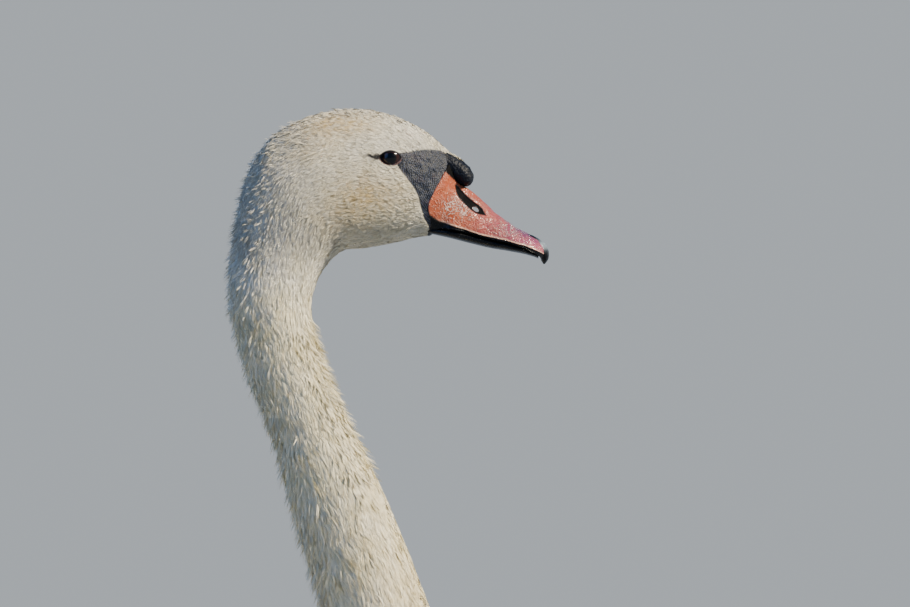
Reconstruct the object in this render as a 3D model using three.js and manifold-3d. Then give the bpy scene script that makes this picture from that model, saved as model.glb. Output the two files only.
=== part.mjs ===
// A mute swan (Cygnus olor) standing on both webbed feet with its wings folded and its neck in a high S.
// Millimetres, +Z up. The bird faces +X and its left side is +Y; the floor is Z = 0.
// One smooth body runs from the bill's base over the head, down the neck, along the trunk and out to the
// tail's tip. It is lofted through the stations below and parted by thin cuts into head, neck, trunk and
// tail. Bill, wings and legs are cut back to a grown copy of it, so that nothing overlaps.
import * as THREE from "three";
import { mergeVertices } from "three/addons/utils/BufferGeometryUtils.js";
import Module from "manifold-3d";

const wasm = await Module();
wasm.setup();

// ---- Driving dimensions ------------------------------------------------------------------------------
const GAP = 0.3; // between pieces that meet
const BODY_SIDES = 24;
const BEAD_SIDES = 14; // round an eye, the knob and the nail

const EYE = { x: 0, y: 17.4, z: 900, radius: 8.4 };
const KNOB = { x: 46.8, z: 892.4, along: 13.2, thick: 7.4, halfWidth: 8, slope: 40 };
// The nostrils are one slot right through the bill, so it is cut wider than the bill is.
const NOSTRIL = { x: 57.6, z: 866, long: 5.2, through: 30, high: 1.9, slope: 38, sides: 10 };

// Each leg stands a little ahead of or behind the other: the foot by the whole stride, the ankle and the
// hip by a share of it.
const FOOT = { side: 78, stride: 20, jointX: -252, jointZ: 17, toeIn: 4 };
const ANKLE = { x: -284, z: 121, side: 74, radius: 11.5, stride: 0.7 };
const THIGH = { x: -232, z: 215, side: 66, stride: 0.3, radius: 44 };
// Where the thigh narrows and ends, as shares of the way from hip to ankle.
const THIGH_WAIST = { at: 0.55, radius: 27.28 };
const THIGH_END = { at: 0.86, radius: 15.5 };
const SHANK_TOP_RADIUS = 9.5;
const SHANK_FOOT_RADIUS = 9.0;
// The bare shank between ankle and foot: how far down, and its radius there.
const SHANK_WAIST = [
  { at: 0.3, radius: 7.4 },
  { at: 0.7, radius: 7.0 },
];
const TOES = [
  { name: "inner", length: 102, turn: 27, radius: 6.3 },
  { name: "middle", length: 132, turn: 1, radius: 6.8 },
  { name: "outer", length: 127, turn: -25, radius: 6.3 },
];
// Along a toe: [share of its length, height of its middle, radius]. Both are in radii of that toe.
const TOE_STOPS = [
  [0.16, 1.35, 1.15],
  [0.4, 0.62, 1],
  [0.72, 0.56, 0.88],
  [1, 0.44, 0.66],
];
// A toe starts inside the joint: this share of its length behind it, and this far below it.
const TOE_ROOT = { behind: 0.04, below: 3, radius: 1.35 };
const TOE_END_HEIGHT = 0.6;
// The web starts behind the joint and reaches nearly to the claws, with a shallow bay between two toes.
const WEB = { behind: 4, reach: 0.93, bay: 0.12, above: 0.4, thick: 2.6 };
const CLAW = { length: 15, radius: 3.9, middle: 0.55, middleRadius: 0.72, tipRadius: 0.5, droop: 2.6 };
const CLAW_FLOOR = 0.15;
const CLAW_TIP_HEIGHT = 0.7;
const HIND_TOE = { length: 24, radius: 4.6, height: 21, behind: 9.9, inward: 5, drop: 12, taper: 0.7 };
const HIND_CLAW = { scale: 0.62, inward: 0.2, drop: 0.35 };

// Stations of the body: [name, back x, back z, front x, front z, half width]. "Back" is the crown, nape
// and back line; "front" is the chin, throat, breast and belly line. X is measured from the eye.
const BODY_STATIONS = [
  ["bill base", 40.4, 904.6, 26.6, 846.9, 14.8],
  ["lores", 25.8, 917.2, 17.6, 845.8, 20.2],
  ["eye", 5.2, 927.6, 3.4, 842.4, 25.6],
  ["crown", -26.8, 933.4, -16.8, 838.6, 30.4],
  ["occiput", -59.2, 927.2, -31.6, 837.2, 32.6],
  ["nape", -84.8, 911.6, -38.6, 833.2, 32.6],
  ["nape foot", -102.4, 881.6, -43.6, 825.6, 31.6],
  ["throat", -110.4, 847.6, -48.6, 813.6, 30.8],
  ["neck top", -114.0, 803.6, -52.2, 798.4, 30.4],
  ["neck bend", -104.2, 758.6, -49.0, 777.6, 29.4],
  ["neck slim", -85.0, 707.0, -30.4, 727.4, 30.0],
  ["neck middle", -68.6, 648.6, -2.0, 669.4, 34.6],
  ["neck full", -51.8, 591.8, 20.8, 613.4, 38.4],
  ["neck low", -40.0, 534.0, 42.0, 552.0, 42.0],
  ["neck root", -43.0, 491.0, 62.0, 482.0, 52.0],
  ["shoulder", -66.0, 462.0, 78.0, 405.0, 76.0],
  ["breast", -112.0, 452.0, 82.0, 328.0, 101.0],
  ["keel", -180.0, 458.0, 58.0, 247.0, 121.0],
  ["back", -258.0, 466.0, -12.0, 188.0, 134.0],
  ["belly", -338.0, 463.0, -120.0, 163.0, 137.0],
  ["loin", -412.0, 444.0, -240.0, 173.0, 128.0],
  ["rump", -484.0, 415.0, -358.0, 219.0, 103.0],
  ["vent", -544.0, 390.0, -462.0, 286.0, 72.0],
  ["tail root", -592.0, 374.0, -548.0, 334.0, 54.0],
  ["tail middle", -650.0, 360.0, -640.0, 345.0, 51.0],
  ["tail tip", -700.0, 349.0, -698.0, 343.0, 14.0],
];

// Stations of the upper bill: [ridge x, ridge z, mouth line x, mouth line z, half width].
const BILL_STATIONS = [
  [39.2, 896.4, 28.6, 851.8, 14.4],
  [46.6, 885.0, 40.4, 851.2, 15.2],
  [59.6, 874.4, 53.6, 848.4, 14.8],
  [72.6, 862.4, 67.8, 844.6, 15.0],
  [86.4, 852.6, 82.0, 841.2, 16.0],
  [98.2, 845.8, 94.6, 836.8, 15.6],
  [105.0, 840.6, 101.6, 832.6, 12.4],
  [108.6, 835.6, 105.6, 828.6, 5.0],
];
// The bill's section is a rounded arch. Powers below 1 make its cutting edges full and square, powers
// above 1 its ridge narrow, and it is wider below its middle than above by twice the last share.
const BILL_ARCH = { edges: 0.45, ridge: 1.1, wider: 0.2 };
// How far the lower bill's underside lies below the mouth line at the same stations.
const LOWER_BILL_DEPTHS = [4.4, 6.4, 7.0, 6.6, 5.6, 3.8, 2.0];
const LOWER_BILL_INSET = 1.2;
// The nail is the front of an oval: what lies further back than "behind" belongs to the bill.
const NAIL = { x: 101.8, z: 836.4, long: 7.2, high: 8.6, halfWidth: 7.4, behind: 3 };

// The folded wing lies on the body between these two distances along it, measured from named stations.
const WING = { from: "shoulder", to: "tail root", lead: 14, past: 52, thick: 23, rim: 1.6, split: 0.74 };
// Its upper edge, in radians from the back line: apart over the shoulders, together by "closed" of the
// wing's length, and a little apart again at the tips.
const WING_TOP = { shoulder: 0.62, closed: 0.34, meeting: 0.03, tips: 0.12, opens: 0.76 };
// Its lower edge, in radians: it bows down over the flank, lowest before the wing's middle (skew below 1)
// and blunt (blunt below 1), then sweeps up to the tip.
const WING_BOTTOM = { shoulder: 1.02, bow: 0.72, skew: 0.62, blunt: 0.8 };
const WING_SWEEP = { share: 0.56, from: 0.42, tuck: 0.2, tuckFrom: 0.8 };
// It is full thickness by "full" of its length and thins by "thinner" from "thins" on. Across its width it
// is rounded like a sine to the power "round".
const WING_FULLNESS = { full: 0.13, thinner: 0.74, thins: 0.4, round: 0.6 };
// The body is fuller low down than high up: by this share at the bill's base, and behind the crown.
const FULLER = { bill: 0.22, elsewhere: 0.07 };

// ---- Materials ---------------------------------------------------------------------------------------
const plumage = new THREE.MeshStandardMaterial({ color: 0xf1ead9, roughness: 0.85 });
const billOrange = new THREE.MeshStandardMaterial({ color: 0xd98a62, roughness: 0.42 });
const billBlack = new THREE.MeshStandardMaterial({ color: 0x14151a, roughness: 0.35 });
const eyeBrown = new THREE.MeshStandardMaterial({ color: 0x120b0a, roughness: 0.05 });
const footSkin = new THREE.MeshStandardMaterial({ color: 0x232427, roughness: 0.55 });
const horn = new THREE.MeshStandardMaterial({ color: 0x0e0e10, roughness: 0.4 });

// ---- Smooth curves through stations ------------------------------------------------------------------
// Cubic Hermite through columns of numbers. Each knot's slope is that of the parabola through it and its
// two neighbours.
function smoothTable(rows, knots) {
  const slopes = rows.map((row, i) => {
    const before = Math.max(i - 1, 0);
    const after = Math.min(i + 1, rows.length - 1);
    return row.map((value, k) => {
      if (before === i || after === i) {
        return (rows[after][k] - rows[before][k]) / (knots[after] - knots[before]);
      }
      const h0 = knots[i] - knots[before];
      const h1 = knots[after] - knots[i];
      const s0 = (value - rows[before][k]) / h0;
      const s1 = (rows[after][k] - value) / h1;
      return (h1 * s0 + h0 * s1) / (h0 + h1);
    });
  });
  return (t) => {
    let i = 0;
    while (i < knots.length - 2 && t > knots[i + 1]) i += 1;
    const h = knots[i + 1] - knots[i];
    const p = (t - knots[i]) / h;
    const q = 1 - p;
    return rows[i].map((value, k) => {
      const start = value * (1 + 2 * p) * q * q + slopes[i][k] * h * p * q * q;
      return start + rows[i + 1][k] * (3 - 2 * p) * p * p - slopes[i + 1][k] * h * q * p * p;
    });
  };
}

// A loft's shape: its table, and the distance of each station along the middle line.
function stationsOf(rows) {
  const knots = [0];
  for (let i = 1; i < rows.length; i += 1) {
    const [bx, bz, fx, fz] = rows[i];
    const [px, pz, qx, qz] = rows[i - 1];
    knots.push(knots[i - 1] + Math.hypot(bx + fx - px - qx, bz + fz - pz - qz) / 2);
  }
  return { at: smoothTable(rows, knots), knots };
}

const body = stationsOf(BODY_STATIONS.map((row) => row.slice(1)));
const bill = stationsOf(BILL_STATIONS);
const along = (name) => body.knots[BODY_STATIONS.findIndex((row) => row[0] === name)];

const smoothStep = (low, high, x) => THREE.MathUtils.smoothstep(x, low, high);

// A point of the body at distance t along it and angle a round it, from the back line (0) down the left
// side. grow moves it outwards. Sections are ovals that are fuller towards the cheeks and the belly.
function bodyPoint(t, a, grow = 0) {
  const [bx, bz, fx, fz, half] = body.at(t);
  const high = Math.hypot(bx - fx, bz - fz) / 2;
  const nx = (bx - fx) / (2 * high);
  const nz = (bz - fz) / (2 * high);
  const lift = (high + grow) * Math.cos(a);
  const share = THREE.MathUtils.lerp(FULLER.bill, FULLER.elsewhere, smoothStep(0, along("crown"), t));
  const fuller = 1 - share * Math.cos(a);
  return new THREE.Vector3(
    (bx + fx) / 2 + nx * lift,
    (half + grow) * Math.sin(a) * fuller,
    (bz + fz) / 2 + nz * lift,
  );
}

// A point of the upper bill at distance t along it and angle a round it, from the ridge (0).
function billPoint(t, a, grow = 0) {
  const [rx, rz, mx, mz, half] = bill.at(t);
  const high = Math.hypot(rx - mx, rz - mz) / 2;
  const nx = (rx - mx) / (2 * high);
  const nz = (rz - mz) / (2 * high);
  const c = Math.cos(a);
  const rise = c < 0 ? -((-c) ** BILL_ARCH.edges) : c ** BILL_ARCH.ridge;
  const lift = (high + grow) * rise;
  return new THREE.Vector3(
    (rx + mx) / 2 + nx * lift,
    (half + grow) * Math.sin(a) * (1 - BILL_ARCH.wider * c),
    (rz + mz) / 2 + nz * lift,
  );
}

// The lower bill hangs under the mouth line, a little narrower than the upper one.
const lowerBill = smoothTable(
  LOWER_BILL_DEPTHS.map((depth) => [depth]),
  bill.knots.slice(0, LOWER_BILL_DEPTHS.length),
);
function lowerBillPoint(t, a) {
  const [, , mx, mz, half] = bill.at(t);
  const [depth] = lowerBill(t);
  const middle = mz - GAP - depth / 2;
  const side = (half - LOWER_BILL_INSET) * Math.sin(a);
  return new THREE.Vector3(mx, side, middle + (depth / 2) * Math.cos(a));
}

// ---- Solids ------------------------------------------------------------------------------------------
function geometryOf(points, triangles) {
  const geometry = new THREE.BufferGeometry();
  const numbers = points.flatMap((p) => [p.x, p.y, p.z]);
  geometry.setAttribute("position", new THREE.Float32BufferAttribute(numbers, 3));
  geometry.setIndex(triangles.flat());
  return geometry;
}

function solid(geometry) {
  const plain = geometry.clone();
  plain.deleteAttribute("normal");
  plain.deleteAttribute("uv");
  const merged = mergeVertices(plain, 1e-3);
  return new wasm.Manifold(
    new wasm.Mesh({
      numProp: 3,
      vertProperties: new Float32Array(merged.attributes.position.array),
      triVerts: new Uint32Array(merged.index.array),
    }),
  );
}

function fromSolid(made) {
  const mesh = made.getMesh();
  const geometry = new THREE.BufferGeometry();
  geometry.setAttribute("position", new THREE.BufferAttribute(mesh.vertProperties, 3));
  geometry.setIndex(new THREE.BufferAttribute(mesh.triVerts, 1));
  return geometry;
}

// A closed loft: rings of points, joined in turn, with a fan over each end.
function loft(ringAt, rings, sides) {
  const points = [];
  const triangles = [];
  for (let i = 0; i <= rings; i += 1) {
    for (let j = 0; j < sides; j += 1) points.push(ringAt(i / rings, (2 * Math.PI * j) / sides));
  }
  for (let i = 0; i < rings; i += 1) {
    for (let j = 0; j < sides; j += 1) {
      const a = i * sides + j;
      const b = i * sides + ((j + 1) % sides);
      triangles.push([a, b, a + sides], [b, b + sides, a + sides]);
    }
  }
  for (const [ring, turned] of [
    [0, true],
    [rings, false],
  ]) {
    const middle = new THREE.Vector3();
    for (let j = 0; j < sides; j += 1) middle.addScaledVector(points[ring * sides + j], 1 / sides);
    const centre = points.push(middle) - 1;
    for (let j = 0; j < sides; j += 1) {
      const a = ring * sides + j;
      const b = ring * sides + ((j + 1) % sides);
      triangles.push(turned ? [centre, b, a] : [centre, a, b]);
    }
  }
  return outwards(geometryOf(points, triangles));
}

// Turns every triangle round if the closed mesh's faces point inwards.
function outwards(geometry) {
  const p = geometry.attributes.position;
  const index = geometry.index;
  const corner = (i) => new THREE.Vector3().fromBufferAttribute(p, index.getX(i));
  let volume = 0;
  for (let i = 0; i < index.count; i += 3) volume += corner(i).cross(corner(i + 1)).dot(corner(i + 2));
  if (volume < 0) {
    for (let i = 0; i < index.count; i += 3) {
      const second = index.getX(i + 1);
      index.setX(i + 1, index.getX(i + 2));
      index.setX(i + 2, second);
    }
  }
  return geometry;
}

// A length of the body between two distances along it.
function bodyPiece(start, end, rings, grow = 0) {
  const ringAt = (share, a) => bodyPoint(THREE.MathUtils.lerp(start, end, share), a, grow);
  return loft(ringAt, rings, BODY_SIDES);
}

// An oval ball of the three radii, its front end tipped down by the slope in degrees.
function ellipsoid(centre, radii, slope = 0, sides = BEAD_SIDES) {
  const geometry = new THREE.SphereGeometry(1, sides, Math.round(sides * 0.6));
  geometry.scale(radii[0], radii[1], radii[2]);
  geometry.rotateY(THREE.MathUtils.degToRad(slope));
  geometry.translate(centre[0], centre[1], centre[2]);
  return geometry;
}

// A tapered round limb through points, each with a radius. Its rings turn about the axis "side". flat
// cuts its underside off at that height.
function limb(stops, rings, sides, flat = -Infinity, side = new THREE.Vector3(0, 1, 0)) {
  const path = new THREE.CatmullRomCurve3(stops.map((stop) => stop.at));
  const last = stops.length - 1;
  return loft(
    (share, a) => {
      const centre = path.getPoint(share);
      const ahead = path.getTangent(share);
      const across = new THREE.Vector3().crossVectors(ahead, side).normalize();
      const over = new THREE.Vector3().crossVectors(across, ahead).normalize();
      const i = Math.min(Math.floor(share * last), last - 1);
      const radius = THREE.MathUtils.lerp(stops[i].radius, stops[i + 1].radius, share * last - i);
      centre.addScaledVector(across, radius * Math.cos(a)).addScaledVector(over, radius * Math.sin(a));
      centre.z = Math.max(centre.z, flat);
      return centre;
    },
    rings,
    sides,
  );
}

// ---- The folded wing ---------------------------------------------------------------------------------
const wingStart = along(WING.from) - WING.lead;
const wingEnd = along(WING.to) + WING.past;

// The wing's upper edge meets its fellow over the back, and its lower edge sweeps up to the tip.
function wingEdges(share) {
  const apart = WING_TOP.shoulder * (1 - smoothStep(0, WING_TOP.closed, share));
  const top = apart + WING_TOP.meeting + WING_TOP.tips * smoothStep(WING_TOP.opens, 1, share);
  const wave = Math.sin(Math.PI * share ** WING_BOTTOM.skew) ** WING_BOTTOM.blunt;
  const bow = WING_BOTTOM.shoulder + WING_BOTTOM.bow * wave;
  const swept = bow * (1 - WING_SWEEP.share * smoothStep(WING_SWEEP.from, 1, share));
  return [top, swept - WING_SWEEP.tuck * smoothStep(WING_SWEEP.tuckFrom, 1, share)];
}

// Thickness of the folded wing: fullest along its middle, thin at its rim and towards the feather tips.
function wingThickness(share, across) {
  const thinning = 1 - WING_FULLNESS.thinner * smoothStep(WING_FULLNESS.thins, 1, share);
  const long = smoothStep(0, WING_FULLNESS.full, share) * thinning;
  const round = Math.max(Math.sin(Math.PI * across), 0) ** WING_FULLNESS.round;
  return WING.rim + WING.thick * long * round;
}

// A length of the wing, from and to being shares of its whole length: an outer and an inner layer of
// points, joined all round their rim.
function wingPiece(from, to, lengths, across, sign) {
  const points = [];
  const triangles = [];
  for (const outer of [false, true]) {
    for (let i = 0; i <= lengths; i += 1) {
      const share = THREE.MathUtils.lerp(from, to, i / lengths);
      const [top, bottom] = wingEdges(share);
      for (let j = 0; j <= across; j += 1) {
        const t = THREE.MathUtils.lerp(wingStart, wingEnd, share);
        const a = THREE.MathUtils.lerp(top, bottom, j / across);
        const rise = outer ? wingThickness(share, j / across) : -WING.rim;
        const point = bodyPoint(t, a, rise);
        point.y *= sign;
        points.push(point);
      }
    }
  }
  const row = across + 1;
  const layer = (lengths + 1) * row;
  const id = (outer, i, j) => (outer ? layer : 0) + i * row + j;
  const quad = (a, b, c, d) => triangles.push([a, b, c], [a, c, d]);
  for (let i = 0; i < lengths; i += 1) {
    for (let j = 0; j < across; j += 1) {
      quad(id(true, i, j), id(true, i + 1, j), id(true, i + 1, j + 1), id(true, i, j + 1));
      quad(id(false, i, j), id(false, i, j + 1), id(false, i + 1, j + 1), id(false, i + 1, j));
    }
    quad(id(false, i, 0), id(false, i + 1, 0), id(true, i + 1, 0), id(true, i, 0));
    quad(id(true, i, across), id(true, i + 1, across), id(false, i + 1, across), id(false, i, across));
  }
  for (let j = 0; j < across; j += 1) {
    quad(id(true, 0, j), id(true, 0, j + 1), id(false, 0, j + 1), id(false, 0, j));
    quad(id(false, lengths, j), id(false, lengths, j + 1), id(true, lengths, j + 1), id(true, lengths, j));
  }
  return outwards(geometryOf(points, triangles));
}

// ---- The bird ----------------------------------------------------------------------------------------
const bird = new THREE.Group();
const tailTipX = BODY_STATIONS.at(-1)[1];
const middleX = (NAIL.x + NAIL.long + tailTipX) / 2;
function add(name, geometry, material) {
  const mesh = new THREE.Mesh(geometry, material);
  mesh.name = name;
  mesh.position.x = -middleX;
  bird.add(mesh);
}

// The nail at the bill's tip: an oval ball cut off behind. grow moves its surface outwards.
function nailSolid(grow) {
  const radii = [NAIL.long + grow, NAIL.halfWidth + grow, NAIL.high + grow];
  const size = 4 * NAIL.high;
  const ahead = new THREE.BoxGeometry(size, size, size);
  ahead.translate(NAIL.x - NAIL.behind - grow + size / 2, 0, NAIL.z);
  return solid(ellipsoid([NAIL.x, 0, NAIL.z], radii)).intersect(solid(ahead));
}

// Bill, with its knob, nail and open nostrils.
function makeBill() {
  const length = bill.knots.at(-1);
  const upper = (grow) => loft((share, a) => billPoint(GAP + (length - GAP) * share, a, grow), 11, 16);
  const lowerEnd = bill.knots[LOWER_BILL_DEPTHS.length - 1];
  const lower = loft((share, a) => lowerBillPoint(GAP + (lowerEnd - GAP) * share, a), 10, 12);
  const slotRadii = [NOSTRIL.long, NOSTRIL.through, NOSTRIL.high];
  const slot = ellipsoid([NOSTRIL.x, 0, NOSTRIL.z], slotRadii, NOSTRIL.slope, NOSTRIL.sides);
  const knob = ellipsoid([KNOB.x, 0, KNOB.z], [KNOB.along, KNOB.halfWidth, KNOB.thick], KNOB.slope);
  const head = solid(bodyPiece(-GAP, along("crown"), 16, GAP));
  const nailCut = nailSolid(GAP);
  const upperBill = solid(upper(0)).subtract(head).subtract(nailCut).subtract(solid(slot));
  add("upper_bill", fromSolid(upperBill), billOrange);
  add("lower_bill", fromSolid(solid(lower).subtract(head).subtract(nailCut)), billBlack);
  add("bill_nail", fromSolid(nailSolid(0)), horn);
  add("bill_knob", fromSolid(solid(knob).subtract(head).subtract(solid(upper(GAP)))), billBlack);
}

const eyeball = (sign, grow) =>
  ellipsoid([EYE.x, sign * EYE.y, EYE.z], Array(3).fill(EYE.radius + grow));

// Head with eye sockets, three lengths of neck, trunk and tail. Returns a grown copy of the whole, which
// the wings and thighs are cut by.
function makeBody() {
  // Each piece's name, the distances along the body where it starts and ends, and its rings.
  const cuts = [
    ["head", 0, along("throat"), 16],
    ["neck_upper", along("throat"), along("neck slim"), 6],
    ["neck_middle", along("neck slim"), along("neck full"), 4],
    ["neck_lower", along("neck full"), along("neck root"), 5],
    ["trunk", along("neck root"), along("tail root"), 18],
    ["tail", along("tail root"), along("tail tip"), 6],
  ];
  const sockets = [1, -1].map((sign) => solid(eyeball(sign, GAP)));
  let whole = null;
  for (const [name, start, end, rings] of cuts) {
    const grown = solid(bodyPiece(start - GAP, end + GAP, rings, GAP));
    whole = whole ? whole.add(grown) : grown;
    const piece = bodyPiece(start + GAP / 2, end - GAP / 2, rings);
    if (name === "head") {
      const [left, right] = sockets;
      add(name, fromSolid(solid(piece).subtract(left).subtract(right)), plumage);
    } else {
      add(name, piece, plumage);
    }
  }
  return whole;
}

// Eyes, wings and legs, left and right.
function makePairs(trunk) {
  for (const [side, sign] of [
    ["left", 1],
    ["right", -1],
  ]) {
    add("eye_" + side, eyeball(sign, 0), eyeBrown);
    const seam = GAP / (wingEnd - wingStart);
    const arm = solid(wingPiece(0, WING.split, 13, 8, sign)).subtract(trunk);
    const tips = solid(wingPiece(WING.split + seam, 1, 5, 6, sign)).subtract(trunk);
    add("wing_" + side, fromSolid(arm), plumage);
    add("primaries_" + side, fromSolid(tips), plumage);
    makeLeg(side, sign, trunk);
  }
}

// One leg: the feathered thigh out of the belly, the bare shank, the webbed foot, hind toe and claws.
function makeLeg(side, sign, trunk) {
  const stride = sign * FOOT.stride;
  const hip = new THREE.Vector3(THIGH.x + stride * THIGH.stride, sign * THIGH.side, THIGH.z);
  const ankle = new THREE.Vector3(ANKLE.x + stride * ANKLE.stride, sign * ANKLE.side, ANKLE.z);
  const joint = new THREE.Vector3(FOOT.jointX + stride, sign * FOOT.side, FOOT.jointZ);
  const thighEnd = hip.clone().lerp(ankle, THIGH_END.at);
  const thigh = limb(
    [
      { at: hip, radius: THIGH.radius },
      { at: hip.clone().lerp(ankle, THIGH_WAIST.at), radius: THIGH_WAIST.radius },
      { at: thighEnd, radius: THIGH_END.radius },
    ],
    6,
    14,
  );
  add("thigh_" + side, fromSolid(solid(thigh).subtract(trunk)), plumage);

  const down = ankle.clone().sub(hip).normalize();
  const shank = limb(
    [
      { at: thighEnd.clone().addScaledVector(down, GAP), radius: SHANK_TOP_RADIUS },
      { at: ankle, radius: ANKLE.radius },
      ...SHANK_WAIST.map(({ at, radius }) => ({ at: ankle.clone().lerp(joint, at), radius })),
      { at: joint, radius: SHANK_FOOT_RADIUS },
    ],
    8,
    8,
  );
  const foot = makeFoot(joint, sign);
  add("foot_" + side, fromSolid(foot.solid), footSkin);
  add("shank_" + side, fromSolid(solid(shank).subtract(foot.grown)), footSkin);
  for (const toe of foot.toes) add(`claw_${side}_${toe.name}`, toe.claw, horn);

  const hindStart = new THREE.Vector3(joint.x - HIND_TOE.behind, joint.y, HIND_TOE.height);
  const reach = new THREE.Vector3(-HIND_TOE.length, -sign * HIND_TOE.inward, -HIND_TOE.drop);
  const hindEnd = hindStart.clone().add(reach);
  const hind = limb(
    [
      { at: hindStart, radius: HIND_TOE.radius },
      { at: hindEnd, radius: HIND_TOE.radius * HIND_TOE.taper },
    ],
    3,
    8,
  );
  add("hind_toe_" + side, fromSolid(solid(hind).subtract(solid(shank).add(foot.grown))), footSkin);
  const back = new THREE.Vector3(-1, -sign * HIND_CLAW.inward, -HIND_CLAW.drop);
  add(`claw_${side}_hind`, clawAt(hindEnd, back, HIND_CLAW.scale), horn);
}

// A claw: a short curved cone from the toe's end, its point just over the floor.
function clawAt(start, direction, scale) {
  const ahead = direction.clone().normalize();
  const base = start.clone().addScaledVector(ahead, GAP * 2);
  const middle = base.clone().addScaledVector(ahead, CLAW.length * CLAW.middle * scale);
  const tip = base.clone().addScaledVector(ahead, CLAW.length * scale);
  tip.z = Math.max(tip.z - CLAW.droop * scale, CLAW_TIP_HEIGHT);
  return limb(
    [
      { at: base, radius: CLAW.radius * scale },
      { at: middle, radius: CLAW.radius * CLAW.middleRadius * scale },
      { at: tip, radius: CLAW.tipRadius },
    ],
    4,
    6,
    CLAW_FLOOR,
  );
}

// Three toes from one joint with a web of skin between them, all flat on the floor.
function makeFoot(joint, sign) {
  const toes = TOES.map((toe) => {
    const turn = THREE.MathUtils.degToRad(-sign * (toe.turn + FOOT.toeIn));
    const ahead = new THREE.Vector3(Math.cos(turn), Math.sin(turn), 0);
    const stop = (share, height, radius) => {
      const at = joint.clone().addScaledVector(ahead, toe.length * share);
      return { at: at.setZ(height), radius: radius * toe.radius };
    };
    const root = stop(-TOE_ROOT.behind, joint.z - TOE_ROOT.below, TOE_ROOT.radius);
    const rest = TOE_STOPS.map(([share, height, radius]) => stop(share, height * toe.radius, radius));
    const end = stop(1, toe.radius * TOE_END_HEIGHT, 1).at;
    const make = (grow) => solid(toeLimb([root, ...rest], ahead, grow));
    return { ...toe, ahead, make, claw: clawAt(end, ahead, 1) };
  });
  const sheet = (thick) => {
    const flat = { depth: thick, bevelEnabled: false, curveSegments: 5 };
    return new THREE.ExtrudeGeometry(webOutline(joint, toes), flat).translate(0, 0, WEB.above);
  };
  const joined = (grow) =>
    toes.reduce((made, toe) => made.add(toe.make(grow)), solid(sheet(WEB.thick + grow)));
  return { solid: joined(0), grown: joined(GAP), toes };
}

// The web's outline: straight along the inner and outer toe, with a curved bay between two toes' ends.
function webOutline(joint, toes) {
  const outline = new THREE.Shape();
  const ends = toes.map((toe) => joint.clone().addScaledVector(toe.ahead, toe.length * WEB.reach));
  outline.moveTo(joint.x - WEB.behind, joint.y);
  outline.lineTo(ends[0].x, ends[0].y);
  for (let i = 1; i < ends.length; i += 1) {
    const bay = ends[i - 1].clone().add(ends[i]).multiplyScalar(0.5).lerp(joint, WEB.bay);
    outline.quadraticCurveTo(bay.x, bay.y, ends[i].x, ends[i].y);
  }
  outline.lineTo(joint.x - WEB.behind, joint.y);
  return outline;
}

// A toe is a limb whose underside is flat on the floor. grow moves its surface outwards.
function toeLimb(stops, ahead, grow) {
  const grown = stops.map(({ at, radius }) => ({ at, radius: radius + grow }));
  const across = new THREE.Vector3(0, 0, 1).cross(ahead);
  return limb(grown, 6, 8, 0, across);
}

const grownBody = makeBody();
makeBill();
makePairs(grownBody);

export default bird;
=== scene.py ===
"""A mute swan at life size, standing with folded wings: its skin, coat of feathers, bill, eyes and legs."""
import math
import bpy
import numpy as np
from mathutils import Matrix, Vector


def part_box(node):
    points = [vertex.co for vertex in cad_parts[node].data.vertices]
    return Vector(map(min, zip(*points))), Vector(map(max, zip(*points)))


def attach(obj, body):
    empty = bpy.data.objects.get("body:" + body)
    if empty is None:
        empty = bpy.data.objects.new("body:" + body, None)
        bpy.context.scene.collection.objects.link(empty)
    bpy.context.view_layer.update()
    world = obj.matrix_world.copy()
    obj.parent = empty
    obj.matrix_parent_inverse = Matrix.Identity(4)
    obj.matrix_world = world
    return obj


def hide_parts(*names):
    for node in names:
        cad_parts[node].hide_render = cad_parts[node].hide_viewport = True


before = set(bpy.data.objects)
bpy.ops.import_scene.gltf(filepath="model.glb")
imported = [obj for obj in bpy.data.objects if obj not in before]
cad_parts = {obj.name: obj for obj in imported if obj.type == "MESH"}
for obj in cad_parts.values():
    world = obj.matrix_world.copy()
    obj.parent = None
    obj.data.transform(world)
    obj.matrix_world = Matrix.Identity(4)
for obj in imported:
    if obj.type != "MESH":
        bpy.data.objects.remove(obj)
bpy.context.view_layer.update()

# ---- Sizes, in millimetres ---------------------------------------------------------------------------
# x is measured forwards from the eye, y to the bird's left and z up from the floor.
MM = 0.001
EYE_LOW, EYE_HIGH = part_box("eye_left")
EYE_MIDDLE = (np.array(EYE_LOW) + np.array(EYE_HIGH)) / 2 / MM
EYE_RADIUS = (EYE_HIGH[2] - EYE_LOW[2]) / 2 / MM
EYE_Y, EYE_Z = EYE_MIDDLE[1], EYE_MIDDLE[2]
SHARE = 1.0
RANDOM = np.random.default_rng(4635)
TAU = 2 * math.pi
PLASTIC = 1.32471795724  # its cube is itself plus 1, and its powers give an even lattice
PATCH = 0.003  # width of one feather's patch on the OFBake map, whose side is 1
BLADE_POINTS = 5  # two at the root, two at the middle and the tip
NORMAL_REACH = 0.06  # how far across a surface its normal is taken, to each side
SKIN_COLUMNS = 248  # points round each ring of the skin
EYE_AREA = 20.0  # the skin is pressed in no further than this from the eye's middle

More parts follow.
